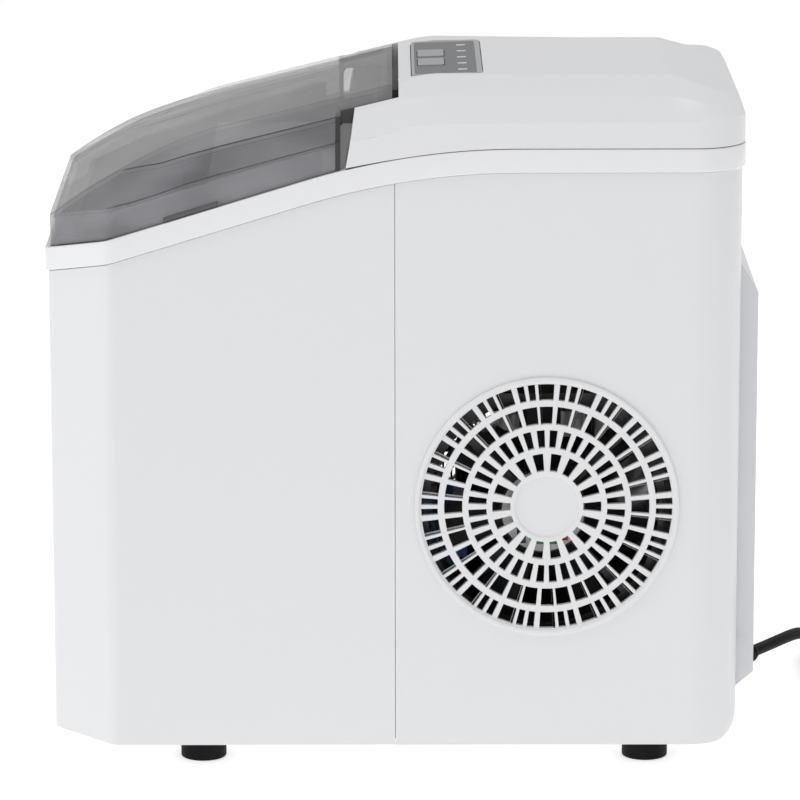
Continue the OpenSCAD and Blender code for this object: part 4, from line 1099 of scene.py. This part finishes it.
# The frame goes from its outer ring to its inner one: its section gives the share of that way and
# the height. The foil is a grid with the two key openings left out.
def panelPieces():
    s = panel
    front, rear, side = s["frame"]
    outer = ringOf(s["wide"], s["deep"], s["corner"])
    inner = ringOf(s["wide"] - 2 * side, s["deep"] - front - rear, s["innerCorner"], 6,
                   (0, (front - rear) / 2))
    rings = [sheet(*(outer + (inner - outer) * share).T, z) for share, z in s["section"]]
    makePiece("panel_frame", [gridPart(onPanel(rings), closeCols=True)], "panelFrame",
              ["control_panel"], sharp=50)
    gap = s["foilGap"]
    x0 = s["wide"] / 2 - side - gap
    keyX, keyY = ([s[at] + k * (s[size] / 2 + s["keyGap"]) for k in (-1, 1)]
                  for at, size in (("keyX", "keyWide"), ("keyY", "keyDeep")))
    xs = np.array([-x0, -keyX[1], -keyX[0], *keyX, x0])
    ys = np.array([front + gap - s["deep"] / 2, *keyY, s["deep"] / 2 - rear - gap])
    keep = np.ones((3, 5), bool)
    keep[1, [1, 3]] = False
    foil = gridPart(onPanel(sheet(xs, ys[:, None], s["foilZ"])), keep=keep)
    makePiece("panel_foil", [foil], "fascia", wall=0.5, edge=0.15, inward=True)
    for body, node, side in (("power_key", "power_button", 1), ("select_key", "select_button", -1)):
        cap = platePart(s["keyWide"], s["keyDeep"], 1.5, -1.1, 0.2, 0.45, (side * s["keyX"], s["keyY"]), 0.12)
        makePiece(node + "_cap", [cap], "key", [node], body, sharp=50)
    lights = [platePart(s["lightWide"], s["lightLong"], 0.5, -2.0, -0.28, 0.12,
                        (k * s["lightX"], s["lightY"])) for k in range(-2, 3)]
    makePiece("light_bars", lights, "light", ["indicator_lights"], sharp=50)


panelPieces()


# Grille: rings of cells round a disc, with the slot cells left out, a raised rim and a sunk middle
def grilleParts(side):
    s = grille
    sector = 360 / s["sectors"]
    marks = {round(a + k * w / 2, 2) for ring in s["rings"] for a, w in ring[2] for k in (-1, 1)}
    turns = []
    for mark in sorted(marks | s["extraTurns"]):
        if 0 <= mark < sector and (not turns or mark - turns[-1] > s["least"]):
            turns.append(mark)
    angles = np.array([sector * k + turn for k in range(s["sectors"]) for turn in turns])
    radii = np.unique([r for ring in s["rings"] for r in ring[:2]] + [s["radius"] - 0.1])
    midTurn = (angles + np.append(angles[1:], angles[0] + 360)) / 2 % sector
    midRadius = (radii[:-1] + radii[1:]) / 2
    solid = np.ones((len(midRadius), len(midTurn)), bool)
    for r0, r1, spots in s["rings"]:
        rows = (midRadius > r0) & (midRadius < r1)
        for a, w in spots:
            away = np.abs((midTurn - a + sector / 2) % sector - sector / 2)
            solid &= ~(rows[:, None] & (away < w / 2))

    # points at radius r and angle a that stand out of the side wall
    def place(r, a, out):
        x = side * (casing["halfWidth"] + out)
        return sheet(x, s["y"] + side * r * np.sin(a), s["z"] + r * np.cos(a))

    def disc(r, out, keep=None):
        r, out = (np.array(v, float, ndmin=1)[:, None] for v in (r, out))
        return gridPart(place(r, np.radians(angles), out), closeCols=True, keep=keep)
    parts = [disc(radii, s["front"], solid), disc(radii, s["back"], solid), disc(*s["hub"]),
             disc([18.1, 0.02], s["back"]), disc(s["radius"] + np.array(s["rim"][0]), s["rim"][1])]
    for r0, r1, spots in s["rings"]:
        for a, w in spots:
            lap = np.radians(np.array([-1, 0, 1, 1, 0, -1]) * w / 2)
            for k in range(s["sectors"]):
                wall = place(np.repeat([r1, r0], 3), np.radians(sector * k + a) + lap,
                             np.array([[s["front"]], [s["back"]]]))
                parts.append(gridPart(wall, closeCols=True))
    return parts


for side, node in ((1, "right_grille"), (-1, "left_grille")):
    makePiece(node + "_disc", grilleParts(side), "casing", [node], merge=0.05)
print("stage: panel and grilles")

# feet: a turned profile with a rolled lower edge and a screw recess
feet = {"x": 96.0, "y": (-102.5, 120.8), "top": boxOf("feet")[1][2], "roll": 1.1}
footProfile = softProfile([[2.4, 5.0], [5.0, 5.0], [5.0, 0.0], [11.5, 0.0], [11.5, 9.6], [11.1, 9.9],
                           [11.1, feet["top"]], [0.0, feet["top"]]], feet["roll"], 4)
footParts = [lathe(footProfile, (k * feet["x"], y, 0), (0, 0, 1), 48) for k in (-1, 1) for y in feet["y"]]
makePiece("rubber_feet", footParts, "foot", ["feet"], sharp=50)

# rear screws: shallow heads with a turned recess
screws = {"x": 92.0, "z": (60.0, 280.0)}
screwProfile = [[3.5, 0.02], [3.45, 0.16], [3.2, 0.26], [1.6, 0.3], [1.35, 0.27], [1.0, 0.06], [0.0, 0.05]]
screwParts = [lathe(screwProfile, (k * screws["x"], casing["rearY"], z), (0, 1, 0), 40)
              for k in (-1, 1) for z in screws["z"]]
makePiece("rear_screw_heads", screwParts, "steel", ["rear_screws"], sharp=50)

# plug blades: flat bars with rounded tips, and a round pin
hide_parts("power_plug")
blades = {"from": 33.5, "apart": 6.35, "long": 16.4, "wide": 6.3, "thick": 1.5, "pinDown": 8.0}


# A flat bar along X whose last rings shrink to a rounded tip
def bladePart(base, s):
    along = s["long"] - np.array([s["long"], 2.0, 0.8, 0.2, 0.0, 0.0])[:, None]
    k = np.array([1.0, 1.0, 0.86, 0.62, 0.4, 0.02])[:, None]
    ring = ringOf(s["wide"], s["thick"], 0.3, 2)
    y = base[1] + ring[:, 1] * np.maximum(k, 0.3 * (k > 0.1))
    return gridPart(sheet(base[0] + along, y, base[2] + ring[:, 0] * k), closeCols=True)


px, py, pz = plug["at"]
pinProfile = softProfile([[2.35, 0.0], [2.35, 16.5], [1.2, 18.0], [0.0, 18.0]], 0.8, 3)
bladeParts = [bladePart((px + blades["from"], py + k * blades["apart"], pz), blades) for k in (-1, 1)]
bladeParts.append(lathe(pinProfile, (px + blades["from"], py, pz - blades["pinDown"]), (1, 0, 0), 24))
makePiece("plug_blades", bladeParts, "steel", sharp=50)
print("stage: feet and plug")


# stage: pale floor, even sky and soft lamps
stage = {"half": 6, "sky": 0.485, "aim": (0, 0, 0.17)}


def makeStage():
    r = stage["half"]
    mesh = bpy.data.meshes.new("floor")
    mesh.from_pydata([(-r, -r, 0), (r, -r, 0), (r, r, 0), (-r, r, 0)], [], [(0, 1, 2, 3)])
    floor = bpy.data.objects.new("floor", mesh)
    mesh.materials.append(floorFinish("studio floor"))
    scene.collection.objects.link(floor)
    world = bpy.data.worlds.new("studio sky")
    scene.world = world
    world.use_nodes = True
    sky = world.node_tree.nodes["Background"]
    sky.inputs[0].default_value = (1, 1, 1, 1)
    sky.inputs[1].default_value = stage["sky"]


lamps = {
    "key": {"place": (0.6, -0.2, 2.2), "size": 1.2, "power": 14.0},
    "front": {"place": (0.5, -2.2, 0.9), "size": 1.0, "power": 6.5},
    "back": {"place": (-1.2, 1.0, 1.6), "size": 1.0, "power": 6.0},
}


def makeLamp(name, s):
    data = bpy.data.lights.new(name, "AREA")
    data.size = s["size"]
    data.energy = s["power"]
    lamp = bpy.data.objects.new(name, data)
    place = Vector(s["place"])
    lamp.location = place
    lamp.rotation_euler = (Vector(stage["aim"]) - place).to_track_quat("-Z", "Y").to_euler()
    scene.collection.objects.link(lamp)


makeStage()
for lampName, lampSettings in lamps.items():
    makeLamp(lampName, lampSettings)
scene.view_settings.view_transform = "Standard"
print("stage: floor and lamps")
